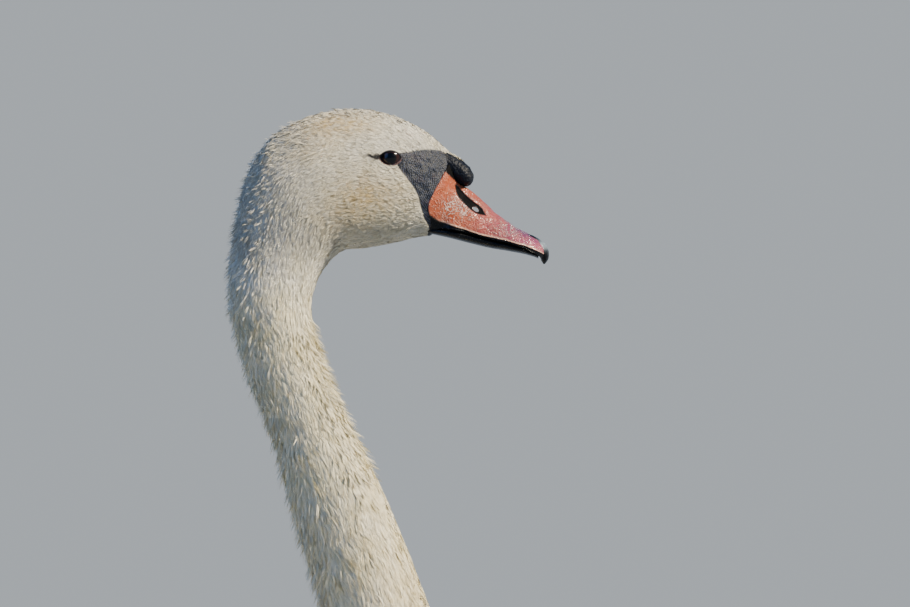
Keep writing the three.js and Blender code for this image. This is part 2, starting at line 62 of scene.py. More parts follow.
# Stations of the body: back x, back z, front x, front z, half width. "Back" is the crown, nape and back
# line; "front" is the chin, throat, breast and belly line.
BODY_STATIONS = {
    "bill base": (40.4, 904.6, 26.6, 846.9, 14.8),
    "lores": (25.8, 917.2, 17.6, 845.8, 20.2),
    "eye": (5.2, 927.6, 3.4, 842.4, 25.6),
    "crown": (-26.8, 933.4, -16.8, 838.6, 30.4),
    "occiput": (-59.2, 927.2, -31.6, 837.2, 32.6),
    "nape": (-84.8, 911.6, -38.6, 833.2, 32.6),
    "nape foot": (-102.4, 881.6, -43.6, 825.6, 31.6),
    "throat": (-110.4, 847.6, -48.6, 813.6, 30.8),
    "neck top": (-114.0, 803.6, -52.2, 798.4, 30.4),
    "neck bend": (-104.2, 758.6, -49.0, 777.6, 29.4),
    "neck slim": (-85.0, 707.0, -30.4, 727.4, 30.0),
    "neck middle": (-68.6, 648.6, -2.0, 669.4, 34.6),
    "neck full": (-51.8, 591.8, 20.8, 613.4, 38.4),
    "neck low": (-40.0, 534.0, 42.0, 552.0, 42.0),
    "neck root": (-43.0, 491.0, 62.0, 482.0, 52.0),
    "shoulder": (-66.0, 462.0, 78.0, 405.0, 76.0),
    "breast": (-112.0, 452.0, 82.0, 328.0, 101.0),
    "keel": (-180.0, 458.0, 58.0, 247.0, 121.0),
    "back": (-258.0, 466.0, -12.0, 188.0, 134.0),
    "belly": (-338.0, 463.0, -120.0, 163.0, 137.0),
    "loin": (-412.0, 444.0, -240.0, 173.0, 128.0),
    "rump": (-484.0, 415.0, -358.0, 219.0, 103.0),
    "vent": (-544.0, 390.0, -462.0, 286.0, 72.0),
    "tail root": (-592.0, 374.0, -548.0, 334.0, 54.0),
    "tail middle": (-650.0, 360.0, -640.0, 345.0, 51.0),
    "tail tip": (-700.0, 349.0, -698.0, 343.0, 14.0),
}
FULLER_AT_BILL, FULLER = 0.22, 0.07  # share by which a section is wider low down, and narrower at its top
NECK_IN = 3.2  # the neck's surface is drawn in by this much, because its locks stand as far out

# Upper bill: ridge x, ridge z, mouth line x, mouth line z, half width. The lower bill has its own depth
# under each of the first seven.
BILL_STATIONS = (
    (39.2, 896.4, 28.6, 851.8, 14.4),
    (46.6, 885.0, 40.4, 851.2, 15.2),
    (59.6, 874.4, 53.6, 848.4, 14.8),
    (72.6, 862.4, 67.8, 844.6, 15.0),
    (86.4, 852.6, 82.0, 841.2, 16.0),
    (98.2, 845.8, 94.6, 836.8, 15.6),
    (105.0, 840.6, 101.6, 832.6, 12.4),
    (108.6, 835.6, 105.6, 828.6, 5.0),
)
LOWER_BILL_DEPTHS = (4.4, 6.4, 7.0, 6.6, 5.6, 3.8, 2.0)
# The nail: outer x, outer z, inner x, inner z, half width.
NAIL_STATIONS = (
    (94.0, 848.4, 93.4, 845.0, 3.4),
    (100.8, 845.4, 98.4, 838.6, 6.6),
    (106.4, 840.8, 101.6, 834.2, 7.4),
    (109.0, 834.9, 103.2, 831.2, 6.4),
    (108.2, 829.8, 104.2, 828.8, 3.8),
    (106.2, 827.2, 105.2, 827.2, 0.8),
)
# The knob: top x, top z, bottom x, bottom z, half width.
KNOB_STATIONS = (
    (27.4, 905.4, 26.6, 902.6, 3.6),
    (31.6, 906.0, 29.6, 900.4, 5.6),
    (37.0, 905.0, 33.4, 895.6, 7.0),
    (42.3, 902.6, 37.2, 891.4, 7.8),
    (47.6, 899.4, 41.6, 887.6, 8.3),
    (52.4, 895.8, 45.9, 884.1, 8.4),
    (55.9, 891.3, 50.0, 881.4, 7.6),
    (57.1, 887.2, 53.1, 880.9, 5.2),
    (56.5, 884.0, 54.9, 881.8, 2.0),
)
# The knob's lower edge, over the bill, as x and z.
KNOB_EDGE = ((30.0, 902.0), (36.6, 892.2), (41.4, 887.0), (45.9, 883.5), (50.0, 880.8), (56.0, 879.6))

# Outlines on the side of the head, as x and z; the back edges of lores and bill are given as z and x.
LORE_TOP = ((-4.0, 903.4), (7.2, 903.8), (19.0, 905.9), (29.0, 906.3), (35.7, 905.2), (46.0, 899.0))
LORE_BACK = ((846.0, 26.5), (853.6, 25.5), (859.6, 22.3), (865.3, 20.7), (872.7, 19.0), (879.5, 15.6),
             (886.2, 10.6), (892.9, 5.5), (900.0, 2.5), (908.0, 0.0))
BILL_BACK = ((846.0, 25.0), (856.0, 27.6), (861.2, 26.5), (864.5, 25.7), (868.6, 26.1), (873.7, 28.2),
             (880.3, 31.5), (886.2, 34.8), (891.4, 37.7), (900.0, 42.0))
ORANGE_EDGE = ((20.0, 864.0), (26.5, 861.2), (32.4, 857.4), (44.2, 853.4), (56.6, 849.0), (69.0, 845.6),
               (77.3, 844.1), (85.6, 841.7), (96.6, 838.3), (106.0, 833.6))
# Brush strokes: x, z and radius along the spine.
NOSTRIL_MARK = ((44.8, 881.6, 0.8), (48.1, 875.4, 2.5), (53.5, 869.6, 2.9), (59.5, 865.0, 3.0),
                (65.6, 860.6, 0.3))
EYE_LINE = ((-6.4, 900.2, 2.2), (-11.0, 901.0, 1.5), (-16.5, 902.3, 0.5))
# The slot through the nostrils: its middle, half its length and height, and its slope down in degrees.
NOSTRIL_HOLE = {"x": 58.5, "z": 864.9, "along": 2.3, "high": 1.25, "slope": 38.0}
FACE_SIDE = 8.0  # a point of the head this far from its middle plane is on its side
# The eye's opening: its reach from the middle four ways, the power of its superellipse, and how far past
# its rim the lids reach.
LID = {"ahead": 7.0, "behind": 7.0, "high": 4.5, "low": 4.9, "point": 1.75, "reach": 4.6}
LORE_RINGS = {"x": 47.0, "z": 886.0}  # the rows of beads on the bare skin circle this point

CUTTING_EDGE = 0.75 * math.pi  # angle from the ridge, on the bill's section
PALATE_EDGE = math.radians(147)  # the same place, on the head's section

# The folded wing leads the shoulder, ends past the tail root and is so thick at most.
WING = {"lead": 14.0, "past": 52.0, "thick": 23.0}

# The left foot stands a stride ahead of joint_x and the right one a stride behind; toe_in is in degrees.
FOOT = {"side": 78.0, "stride": 20.0, "joint_x": -252.0, "joint_z": 17.0, "toe_in": 4.0}
ANKLE = {"x": -284.0, "z": 121.0, "side": 74.0, "radius": 11.5}
THIGH = {"x": -232.0, "z": 215.0, "side": 66.0, "radius": 44.0, "end_radius": 15.5}
# Each toe's length, its angle inwards in degrees and its radius.
TOES = {"inner": (102.0, 27.0, 6.3), "middle": (132.0, 1.0, 6.8), "outer": (127.0, -25.0, 6.3)}
CLAW_LENGTH, CLAW_RADIUS = 15.0, 3.9
HIND_TOE = {"length": 24.0, "radius": 4.6, "height": 21.0}


# ---- Curves and fields -------------------------------------------------------------------------------
def step(low, high, x):
    """Smooth step: 0 at low, 1 at high, and 3p^2 - 2p^3 of the share p between them."""
    p = np.clip((np.asarray(x, float) - low) / (high - low), 0, 1)
    return p * p * (3 - 2 * p)


def mix(a, b, share):
    """Straight mix: a at share 0, b at share 1."""
    return a + (b - a) * share


def bell(x, middle, width):
    """Bell curve: exp of minus the squared distance from the middle, in widths."""
    return np.exp(-(((x - middle) / width) ** 2))


def unit(ways):
    """Each way divided by its length."""
    return ways / np.maximum(np.linalg.norm(ways, axis=-1, keepdims=True), 1e-9)


def column(low, high, count):
    """Even steps from low to high, as a column."""
    return np.linspace(low, high, count)[:, None]


def around(count):
    """Angles once round from 0, as a row."""
    return np.linspace(0, TAU, count, endpoint=False)[None, :]


def distances(points):
    """How far along the line through them each point is: the sum of the gaps before it."""
    return np.concatenate([[0], np.cumsum(np.linalg.norm(np.diff(points, axis=0), axis=1))])


def smooth_table(rows, knots):
    """Cubic Hermite through rows of numbers, straight past the ends; a knot's slope is its parabola's."""
    rows = np.asarray(rows, float)
    knots = np.asarray(knots, float)
    gaps = np.diff(knots)[:, None]
    chords = np.diff(rows, axis=0) / gaps
    slopes = np.empty_like(rows)
    slopes[0] = chords[0]
    slopes[-1] = chords[-1]
    slopes[1:-1] = (gaps[1:] * chords[:-1] + gaps[:-1] * chords[1:]) / (gaps[:-1] + gaps[1:])

    def at(t):
        t = np.asarray(t, float)
        inside = np.clip(t, knots[0], knots[-1])
        i = np.clip(np.searchsorted(knots, inside, side="right") - 1, 0, len(knots) - 2)
        h = gaps[i]
        p = ((inside - knots[i])[..., None]) / h
        q = 1 - p
        near = rows[i] * (1 + 2 * p) * q * q + slopes[i] * h * p * q * q
        far = rows[i + 1] * (3 - 2 * p) * p * p - slopes[i + 1] * h * q * p * p
        end = np.where((t > knots[-1])[..., None], slopes[-1], slopes[0])
        return near + far + end * (t - inside)[..., None]

    return at


def stations(rows):
    """A loft's table, with each station's distance along the line midway between its two edges."""
    rows = np.asarray(list(rows), float)
    knots = distances((rows[:, 0:2] + rows[:, 2:4]) / 2)
    return smooth_table(rows, knots), knots


BODY, BODY_KNOTS = stations(BODY_STATIONS.values())
BILL, BILL_KNOTS = stations(BILL_STATIONS)
NAIL, NAIL_KNOTS = stations(NAIL_STATIONS)
KNOB, KNOB_KNOTS = stations(KNOB_STATIONS)
ALONG = dict(zip(BODY_STATIONS, BODY_KNOTS))
BODY_END = BODY_KNOTS[-1]
BILL_END = BILL_KNOTS[-1]
WING_START = ALONG["shoulder"] - WING["lead"]
WING_END = ALONG["tail root"] + WING["past"]
LOWER_BILL = smooth_table(np.array(LOWER_BILL_DEPTHS)[:, None], BILL_KNOTS[: len(LOWER_BILL_DEPTHS)])


def section(row, grow, up, wide):
    """Points of a loft's section: its middle, plus its way up times up * (half height + grow), plus to the
    side wide * (half width + grow)."""
    top, low, half = row[..., 0:2], row[..., 2:4], row[..., 4]
    high = np.linalg.norm(top - low, axis=-1) / 2
    way = (top - low) / (2 * high[..., None])
    flat = (top + low) / 2 + way * ((high + grow) * up)[..., None]
    return np.stack([flat[..., 0], (half + grow) * wide, flat[..., 1]], -1)


def curve_through(points):
    """The height of a smooth curve through points that are given in order of their first number."""
    points = np.asarray(points, float)
    table = smooth_table(points[:, 1:], points[:, 0])
    return lambda x: table(x)[..., 0]


LORE_TOP_AT = curve_through(LORE_TOP)
LORE_BACK_AT = curve_through(LORE_BACK)
BILL_BACK_AT = curve_through(BILL_BACK)
ORANGE_EDGE_AT = curve_through(ORANGE_EDGE)
KNOB_EDGE_AT = curve_through(KNOB_EDGE)


def stroke(x, z, spine):
    """How far inside a brush stroke a point lies: the most of radius - distance over 60 discs along its
    spine."""
    spine = np.asarray(spine, float)
    table = smooth_table(spine, np.arange(len(spine)))
    discs = table(np.linspace(0, len(spine) - 1, 60))
    inside = np.full(np.shape(x), -1e9)
    for disc in discs:
        inside = np.maximum(inside, disc[2] - np.hypot(x - disc[0], z - disc[1]))
    return inside


def waves(points, size, seed):
    """Smooth noise, mostly from -1 to 1: plane waves about one size long, each with its own way and start,
    added up and divided by the square root of their number."""
    own = np.random.default_rng(seed)
    count = 18
    ways = unit(own.normal(size=(count, 3)))
    ways *= TAU / (size * own.uniform(0.7, 1.5, (count, 1)))
    starts = own.uniform(0, TAU, count)
    total = np.zeros(points.shape[:-1])
    for way, start in zip(ways, starts):
        total += np.sin(points @ way + start)
    return total / count**0.5


# ---- The body's surface ------------------------------------------------------------------------------
def wrapped(a):
    """The same angle, from -pi to pi."""
    return (np.asarray(a) + math.pi) % TAU - math.pi


def wing_edges(share):
    """Angles from the back line of the folded wing's upper and lower edge, at a share of its length. The
    upper one steps down behind the shoulder and up a little at the end; the lower one is a sine's bow that
    narrows from 0.42 of the length on."""
    share = np.clip(share, 0, 1)
    top = 0.62 * (1 - step(0, 0.34, share)) + 0.03 + 0.12 * step(0.76, 1, share)
    bow = 1.02 + 0.72 * np.sin(math.pi * share**0.62) ** 0.8
    bottom = bow * (1 - 0.56 * step(0.42, 1, share)) - 0.2 * step(0.8, 1, share)
    return top, bottom


def wing_share(t, a):
    """Where a point of the body lies on the folded wing: share of its length, share across it."""
    share = (t - WING_START) / (WING_END - WING_START)
    top, bottom = wing_edges(share)
    return share, (np.abs(wrapped(a)) - top) / (bottom - top)


def wing_height(t, a):
    """Height of the folded wing over the trunk: thickness times the wing's long and round profiles."""
    share, across = wing_share(t, a)
    long = step(0, 0.13, share) * (1 - 0.74 * step(0.4, 1, share)) * (1 - step(0.93, 1.0, share))
    round_ = np.sin(math.pi * np.clip(across, 0, 1)) ** 0.6
    return WING["thick"] * long * round_


def body_point(t, a, grow=0.0):
    """The body's oval section at angle a from the back line: up cos a, wide sin a * (1 - fuller * cos a),
    so that it is fuller low down. Along the neck, grow is less by NECK_IN."""
    t, a, grow = np.broadcast_arrays(np.asarray(t, float), a, grow)
    neck = step(ALONG["nape"], ALONG["throat"], t) * step(ALONG["neck root"], ALONG["neck full"], t)
    fuller = mix(FULLER_AT_BILL, FULLER, step(0, ALONG["crown"], t))
    return section(BODY(t), grow - NECK_IN * neck, np.cos(a), np.sin(a) * (1 - fuller * np.cos(a)))


def bird_point(t, a, grow=0.0):
    """The body with its folded wings: body_point, raised by the wing's height."""
    return body_point(t, a, grow + wing_height(t, a))


def coat_depth(t):
    """Depth of the coat of feathers over the skin: straight lines between places along the body."""
    knots = [0, 12, 40, ALONG["occiput"], ALONG["throat"], ALONG["neck full"], ALONG["shoulder"],
             ALONG["belly"], ALONG["tail root"], BODY_END]
    return np.interp(t, knots, [0.25, 0.35, 0.55, 0.75, 1.05, 1.4, 3.2, 3.8, 2.4, 1.2])


def side_place(x, z):
    """The (t, a) of the left side's point at x, z: Newton's method in 14 rounds, from the middle of the
    head."""
    x, z = np.asarray(x, float), np.asarray(z, float)
    t = np.clip(32.0 - x, 1.0, 200.0)
    a = np.full(x.shape, 1.45)
    small = 1e-3
    for _ in range(14):
        here = body_point(t, a)
        by_t = (body_point(t + small, a) - here) / small
        by_a = (body_point(t, a + small) - here) / small
        off_x, off_z = x - here[..., 0], z - here[..., 2]
        det = by_t[..., 0] * by_a[..., 2] - by_a[..., 0] * by_t[..., 2]
        t = t + np.clip((off_x * by_a[..., 2] - by_a[..., 0] * off_z) / det, -12, 12)
        a = a + np.clip((by_t[..., 0] * off_z - off_x * by_t[..., 2]) / det, -0.5, 0.5)
    return t, a


def lid_radius(way):
    """Radius of the eye's opening at an angle from straight ahead: a superellipse, a little pointed."""
    c, s = np.cos(way), np.sin(way)
    wide = np.where(c > 0, LID["ahead"], LID["behind"])
    tall = np.where(s > 0, LID["high"], LID["low"])
    p = LID["point"]
    return ((np.abs(c) / wide) ** p + (np.abs(s) / tall) ** p) ** (-1 / p)


def outside_eye(x, z):
    """Distance outside the rim of the eye's opening, on the side of the head."""
    z = z - EYE_Z
    return np.hypot(x, z) - lid_radius(np.arctan2(z, x))


def bare_skin(x, z):
    """How far inside the bare black skin a point on the side of the head lies: the least of its distances
    from the back, upper and lower edge, the slanting ones made shorter. Below 0 feathers grow."""
    back = (x - LORE_BACK_AT(z)) * 0.8
    top = LORE_TOP_AT(x) - z
    low = (z - 848.6) * 0.9
    return np.minimum(np.minimum(back, top), low)


def orange_horn(x, z):
    """How far in front of its slanting back edge a point of the bill lies."""
    return (x - BILL_BACK_AT(z)) * 0.85


# ---- Meshes ------------------------------------------------------------------------------------------
def grid_faces(rows, columns, closed=True):
    """Quads of a grid of points; closed joins the last column to the first."""
    i = np.arange(rows - 1)[:, None]
    j = np.arange(columns if closed else columns - 1)[None, :]
    k = (j + 1) % columns
    here, ahead = i * columns, (i + 1) * columns
    return np.stack(np.broadcast_arrays(here + j, here + k, ahead + k, ahead + j), -1).reshape(-1, 4)


def closed_loft(points):
    """A grid that closes round its columns, with a fan of triangles to a middle point over each end."""
    rows, columns = points.shape[:2]
    ends = np.stack([points[0].mean(0), points[-1].mean(0)])
    flat = np.concatenate([points.reshape(-1, 3), ends])
    j = np.arange(columns)
    k = (j + 1) % columns
    final = (rows - 1) * columns
    first = np.stack([np.full(columns, rows * columns), k, j], -1)
    last = np.stack([np.full(columns, rows * columns + 1), final + j, final + k], -1)
    return outwards(flat, [grid_faces(rows, columns), np.concatenate([first, last])])


def with_ends(values, first=0.0, last=0.0):
    """A grid's values, and then those of the two middle points that close its ends."""
    return np.concatenate([np.ravel(values), [first, last]])


def outwards(points, faces):
    """Turns every face round where the closed surface's signed volume is negative."""
    volume = 0.0
    for group in faces:
        for corner in range(1, group.shape[1] - 1):
            a, b, c = points[group[:, 0]], points[group[:, corner]], points[group[:, corner + 1]]
            volume += np.einsum("ij,ij->", np.cross(a, b), c)
    if volume < 0:
        faces = [group[:, ::-1] for group in faces]
    return points, faces


def joined(parts):
    """One set of points and faces from several."""
    points, faces, start = [], [], 0
    for own_points, own_faces in parts:
        points.append(own_points)
        faces.extend(group + start for group in own_faces)
        start += len(own_points)
    return np.concatenate(points), faces


def placed(name, data):
    """A new object in the scene."""
    made = bpy.data.objects.new(name, data)
    bpy.context.scene.collection.objects.link(made)
    return made


def build(name, points, faces, material, attributes=None, uv=None, body="root"):
    """Puts points in millimetres and lists of faces into a mesh in metres, in the part's frame."""
    mesh = bpy.data.meshes.new(name)
    shift = np.array([EYE_MIDDLE[0], 0.0, 0.0])
    places = (np.asarray(points) + shift) * MM
    corners = np.concatenate([group.ravel() for group in faces]).astype(np.int32)
    sizes = np.concatenate([np.full(len(group), group.shape[1]) for group in faces])
    mesh.vertices.add(len(places))
    mesh.vertices.foreach_set("co", places.ravel().astype(np.float32))
    mesh.loops.add(len(corners))
    mesh.loops.foreach_set("vertex_index", corners)
    mesh.polygons.add(len(sizes))
    mesh.polygons.foreach_set("loop_start", (np.cumsum(sizes) - sizes).astype(np.int32))
    mesh.update(calc_edges=True)
    for key, values in (attributes or {}).items():
        layer = mesh.attributes.new(key, "FLOAT", "POINT")
        layer.data.foreach_set("value", np.asarray(values, np.float32).ravel())
    if uv is not None:
        layer = mesh.uv_layers.new(name="OFBake")
        layer.data.foreach_set("uv", np.asarray(uv, np.float32)[corners].ravel())
    mesh.shade_smooth()
    mesh.materials.append(material)
    piece = placed(name, mesh)
    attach(piece, body)
    return piece


# ---- Materials ---------------------------------------------------------------------------------------
def colour(hex_value):
    """An sRGB hex value as linear RGBA."""
    parts = [int(hex_value[i : i + 2], 16) / 255 for i in (1, 3, 5)]
    return [p / 12.92 if p <= 0.04045 else ((p + 0.055) / 1.055) ** 2.4 for p in parts] + [1.0]


def add(tree, kind, inputs=None, **settings):
    """Adds a node with its settings; each input is a number, a colour or the socket that feeds it."""
    made = tree.nodes.new("ShaderNode" + kind)
    for key, value in settings.items():
        setattr(made, key, value)
    for key, value in (inputs or {}).items():
        if isinstance(value, bpy.types.NodeSocket):
            tree.links.new(value, made.inputs[key])
        else:
            made.inputs[key].default_value = value
    return made


def start_material(name, **numbers):
    """A material with one Principled shader, whose uniform numbers are set on its own sockets."""
    material = bpy.data.materials.new(name)
    material.use_nodes = True
    tree = material.node_tree
    tree.nodes.clear()
    shader = add(tree, "BsdfPrincipled")
    for key, value in numbers.items():
        shader.inputs[key.replace("_", " ")].default_value = value
    add(tree, "OutputMaterial", {0: shader.outputs[0]})
    return material, tree, shader


def blended(tree, share, a, b, blend="MIX"):
    """The colour socket that mixes a and b by a share."""
    return add(tree, "Mix", {0: share, 6: a, 7: b}, data_type="RGBA", blend_type=blend).outputs[2]


def attribute(tree, name):
    """The number that a piece's own attribute holds."""
    return add(tree, "Attribute", attribute_name=name).outputs["Fac"]


def pattern(tree, kind, size_mm, output, inputs=None, **settings):
    """A texture's output, on Object coordinates, with cells about size_mm across."""
    places = {"Vector": add(tree, "TexCoord").outputs["Object"], "Scale": 1 / (size_mm * MM)}
    return add(tree, kind, places | (inputs or {}), **settings).outputs[output]


def noise(tree, size_mm, detail=3.0, roughness=0.55):
    """Soft noise from 0 to 1."""
    return pattern(tree, "TexNoise", size_mm, "Fac", {"Detail": detail, "Roughness": roughness})


def cells(tree, size_mm, **settings):
    """Distance from the middles of scattered cells, or from what the settings name instead."""
    return pattern(tree, "TexVoronoi", size_mm, "Distance", **settings)


def ramp(tree, value, low, high, to_low=0.0, to_high=1.0):
    """A value taken from low..high to to_low..to_high, and held there."""
    made = add(tree, "MapRange", {"Value": value, "From Min": low, "From Max": high, "To Min": to_low,
                                  "To Max": to_high})
    return made.outputs["Result"]


def maths(tree, operation, a, b=0.0):
    """One step of arithmetic on numbers or sockets."""
    return add(tree, "Math", {0: a, 1: b}, operation=operation).outputs[0]


def times(tree, first, *others):
    """The product of numbers or sockets."""
    for other in others:
        first = maths(tree, "MULTIPLY", first, other)
    return first


def bumped(tree, shader, height, depth_mm, strength=1.0):
    """Bump from a height of 0..1 that is depth_mm deep."""
    made = add(tree, "Bump", {"Height": height, "Distance": depth_mm * MM, "Strength": strength})
    tree.links.new(made.outputs[0], shader.inputs["Normal"])
    if shader.inputs["Coat Weight"].default_value > 0:
        tree.links.new(made.outputs[0], shader.inputs["Coat Normal"])


WHITE, IVORY, OCHRE = colour("#F4F1EA"), colour("#EADFB6"), colour("#CBAC6A")
DUN, DUSK = colour("#BDB59E"), colour("#1D1B1C")
KERATIN = {"Roughness": 0.55, "IOR": 1.54, "Sheen_Weight": 0.2, "Sheen_Roughness": 0.4}


def plumage_colour(tree, own=0.5):
    """White feathers, ivory down the neck, a duller dun tone over the head, ochre where iron in the water
    stains them, and the dark eye line."""
    warm = maths(tree, "ADD", attribute(tree, "warm"), ramp(tree, noise(tree, 14), 0.35, 0.7, -0.14, 0.16))
    clean = blended(tree, warm, WHITE, IVORY)
    base = blended(tree, attribute(tree, "head_dun"), clean, DUN)
    patches = ramp(tree, noise(tree, 3.5, 4), 0.3, 0.65, 0.35, 1.3)
    ochre = times(tree, attribute(tree, "stain"), patches, ramp(tree, own, 0, 1, 1.5, 0.6))
    stained = blended(tree, ochre, base, OCHRE)
    return blended(tree, attribute(tree, "dark"), stained, DUSK)


def plumage(tree, shader, shade, own=0.5):
    """Feeds the plumage's colour, made darker by a shade, to a shader."""
    grey = add(tree, "CombineColor", {0: shade, 1: shade, 2: shade}).outputs[0]
    base = blended(tree, 1.0, plumage_colour(tree, own), grey, "MULTIPLY")
    tree.links.new(base, shader.inputs["Base Color"])


def feather_material():
    """Feather keratin: matte and thin, so light seeps about a millimetre through it, with a faint sheen."""
    material, tree, shader = start_material("feather keratin", Subsurface_Weight=0.4,
                                            Subsurface_Radius=(1.0, 0.95, 0.85), Subsurface_Scale=0.9 * MM,
                                            **KERATIN)
    shader.subsurface_method = "BURLEY"
    strand = attribute(tree, "strand")
    # Painted shade: each blade is darker towards its root, where the blades over it shade it.
    tip = ramp(tree, attribute(tree, "along"), 0.0, 0.6, 0.88, 1.0)
    plumage(tree, shader, times(tree, ramp(tree, strand, 0, 1, 0.78, 1.03), tip), strand)
    return material


def vane_material():
    """A flight feather's vane: barbs about 0.8 mm apart run slantwise from the shaft. They are drawn 1.2 mm
    apart, because finer ones don't show."""
    material, tree, shader = start_material("feather vane", **KERATIN)
    own = ramp(tree, attribute(tree, "strand"), 0, 1, 0.92, 1.02)
    # Painted shade: darker towards the root, where the feather above covers it.
    tip = ramp(tree, attribute(tree, "along"), 0.0, 0.45, 0.92, 1.0)
    barb = maths(tree, "SINE", times(tree, attribute(tree, "barb"), TAU / 1.2))
    # Painted shade: the colour dips a little between barbs, where the bump is lowest.
    plumage(tree, shader, times(tree, own, tip, ramp(tree, barb, -1, 1, 0.98, 1.0)))
    bumped(tree, shader, barb, 0.05, 0.4)
    return material


def skin_material():
    """Skin: pale under the feathers. Between eye and bill it is bare, black and leathery, with beads 0.9 mm
    across in rows 1.3 mm apart, their raised tops painted a paler blue-grey as glints, and the lower
    eyelid's rim is pink."""
    material, tree, shader = start_material("skin", IOR=1.45, Specular_IOR_Level=0.4)
    grain = ramp(tree, cells(tree, 0.9), 0.0, 0.75)
    ring = maths(tree, "ADD", attribute(tree, "ring"), times(tree, noise(tree, 7, 2), 2.2))
    rows = ramp(tree, maths(tree, "SINE", times(tree, ring, TAU / 1.3)), -1, 1)
    tone = maths(tree, "ADD", times(tree, grain, 0.6), times(tree, rows, 0.4))
    # Painted glints: where the bump raises beads and rows, the bare skin is a paler blue-grey.
    black = blended(tree, ramp(tree, tone, 0.15, 0.7), colour("#37425A"), colour("#05070B"))
    pink = blended(tree, ramp(tree, noise(tree, 7, 2), 0.52, 0.72, 0, 0.12), black, colour("#6A5560"))
    rim = blended(tree, attribute(tree, "lid"), pink, colour("#70493F"))
    dark = blended(tree, attribute(tree, "brow"), rim, colour("#131114"))
    bare = attribute(tree, "bare")
    tree.links.new(blended(tree, bare, plumage_colour(tree), dark), shader.inputs["Base Color"])
    tree.links.new(ramp(tree, bare, 0, 1, 0.8, 0.5), shader.inputs["Roughness"])
    height = maths(tree, "SUBTRACT", times(tree, rows, -0.5), grain)
    bumped(tree, shader, times(tree, height, bare), 0.22, 0.9)
    return material


def bill_material():
    """Bill sheath: wet, finely wrinkled keratin over blood vessels, orange at the base and pink at the tip,
    with a purple bloom near the nail, a pale rim over its black edge, and thin pale lines painted along
    the tops of its wrinkles as glints of wet folds."""
    material, tree, shader = start_material("bill sheath", Roughness=0.38, IOR=1.5, Coat_Weight=0.9,
                                            Coat_Roughness=0.12)
    forward = ramp(tree, attribute(tree, "forward"), 0.2, 0.85)
    base = blended(tree, forward, colour("#A84A1C"), colour("#9C4262"))
    flush = blended(tree, ramp(tree, noise(tree, 5, 5, 0.65), 0.46, 0.68, 0, 0.4), base, colour("#D08560"))
    specks = ramp(tree, noise(tree, 1.5, 4, 0.7), 0.53, 0.68, 0, 0.7)
    speckled = blended(tree, specks, flush, colour("#A3412C"))
    bloom = times(tree, attribute(tree, "bruise"), ramp(tree, noise(tree, 3, 4), 0.34, 0.54))
    bruised = blended(tree, bloom, speckled, colour("#5E2350"))
    rimmed = blended(tree, attribute(tree, "rim"), bruised, colour("#EBC6A4"))
    off_crest = maths(tree, "ABSOLUTE", maths(tree, "SUBTRACT", noise(tree, 2.8, 3, 0.5), 0.5))
    crinkle_and_glint = times(tree, ramp(tree, off_crest, 0.0, 0.07, 1.0, 0.0), attribute(tree, "crinkle_and_glint"))
    # Painted highlight: thin pale lines along the wrinkles' tops stand in for glints on wet folds.
    painted_glints = blended(tree, ramp(tree, crinkle_and_glint, 0.45, 0.95, 0, 0.85), rimmed, colour("#FAE3D6"))
    sheath = blended(tree, attribute(tree, "black"), painted_glints, colour("#08080A"))
    tree.links.new(sheath, shader.inputs["Base Color"])
    pits = times(tree, noise(tree, 0.9, 3, 0.6), 0.4)
    bumped(tree, shader, maths(tree, "ADD", pits, crinkle_and_glint), 0.7, 1.0)
    return material


def horn_material(name, tint, pale, roughness, grain_mm, depth_mm, shine=0.2):
    """Black horn or knobbly skin: smooth and a little shiny, with a fine grain whose raised cell middles
    are painted paler as glints, and a pale bluish tint that is wear on the claws and a painted glint on the
    nail.
    """
    material, tree, shader = start_material(name, IOR=1.5, Specular_IOR_Level=shine)
    grain = ramp(tree, cells(tree, grain_mm), 0.0, 0.8)
    wear_and_glint = times(tree, attribute(tree, "wear_and_glint"), ramp(tree, noise(tree, 4, 3), 0.3, 0.65, 0.4, 1.0))
    # Painted glints: the grain's cell middles, which the bump raises, take the paler tint.
    dark = blended(tree, ramp(tree, grain, 0, 1), pale, tint)
    # The pale bluish tint is wear on the claws and a painted glint on the nail's top.
    tree.links.new(blended(tree, wear_and_glint, dark, colour("#A9B7C4")), shader.inputs["Base Color"])
    rough = ramp(tree, noise(tree, 3, 3), 0.3, 0.7, roughness - 0.07, roughness + 0.1)
    tree.links.new(rough, shader.inputs["Roughness"])
    bumped(tree, shader, maths(tree, "SUBTRACT", noise(tree, grain_mm * 2, 3), grain), depth_mm, 0.8)
    return material


def eye_material():
    """Eye: a wet clear cornea over a dark brown iris with fine spokes and a black pupil."""
    material, tree, shader = start_material("eye", Roughness=0.3, IOR=1.38, Specular_IOR_Level=0.1,
                                            Coat_Weight=1.0, Coat_Roughness=0.02, Coat_IOR=1.4)
    radius = attribute(tree, "iris")
    spokes = ramp(tree, noise(tree, 0.8, 3, 0.5), 0.35, 0.65)
    brown = blended(tree, spokes, colour("#170B09"), colour("#321914"))
    ring = blended(tree, ramp(tree, radius, 0.40, 0.50), colour("#020202"), brown)
    edge = blended(tree, ramp(tree, radius, 0.62, 0.76), ring, colour("#080505"))
    tree.links.new(edge, shader.inputs["Base Color"])
    return material


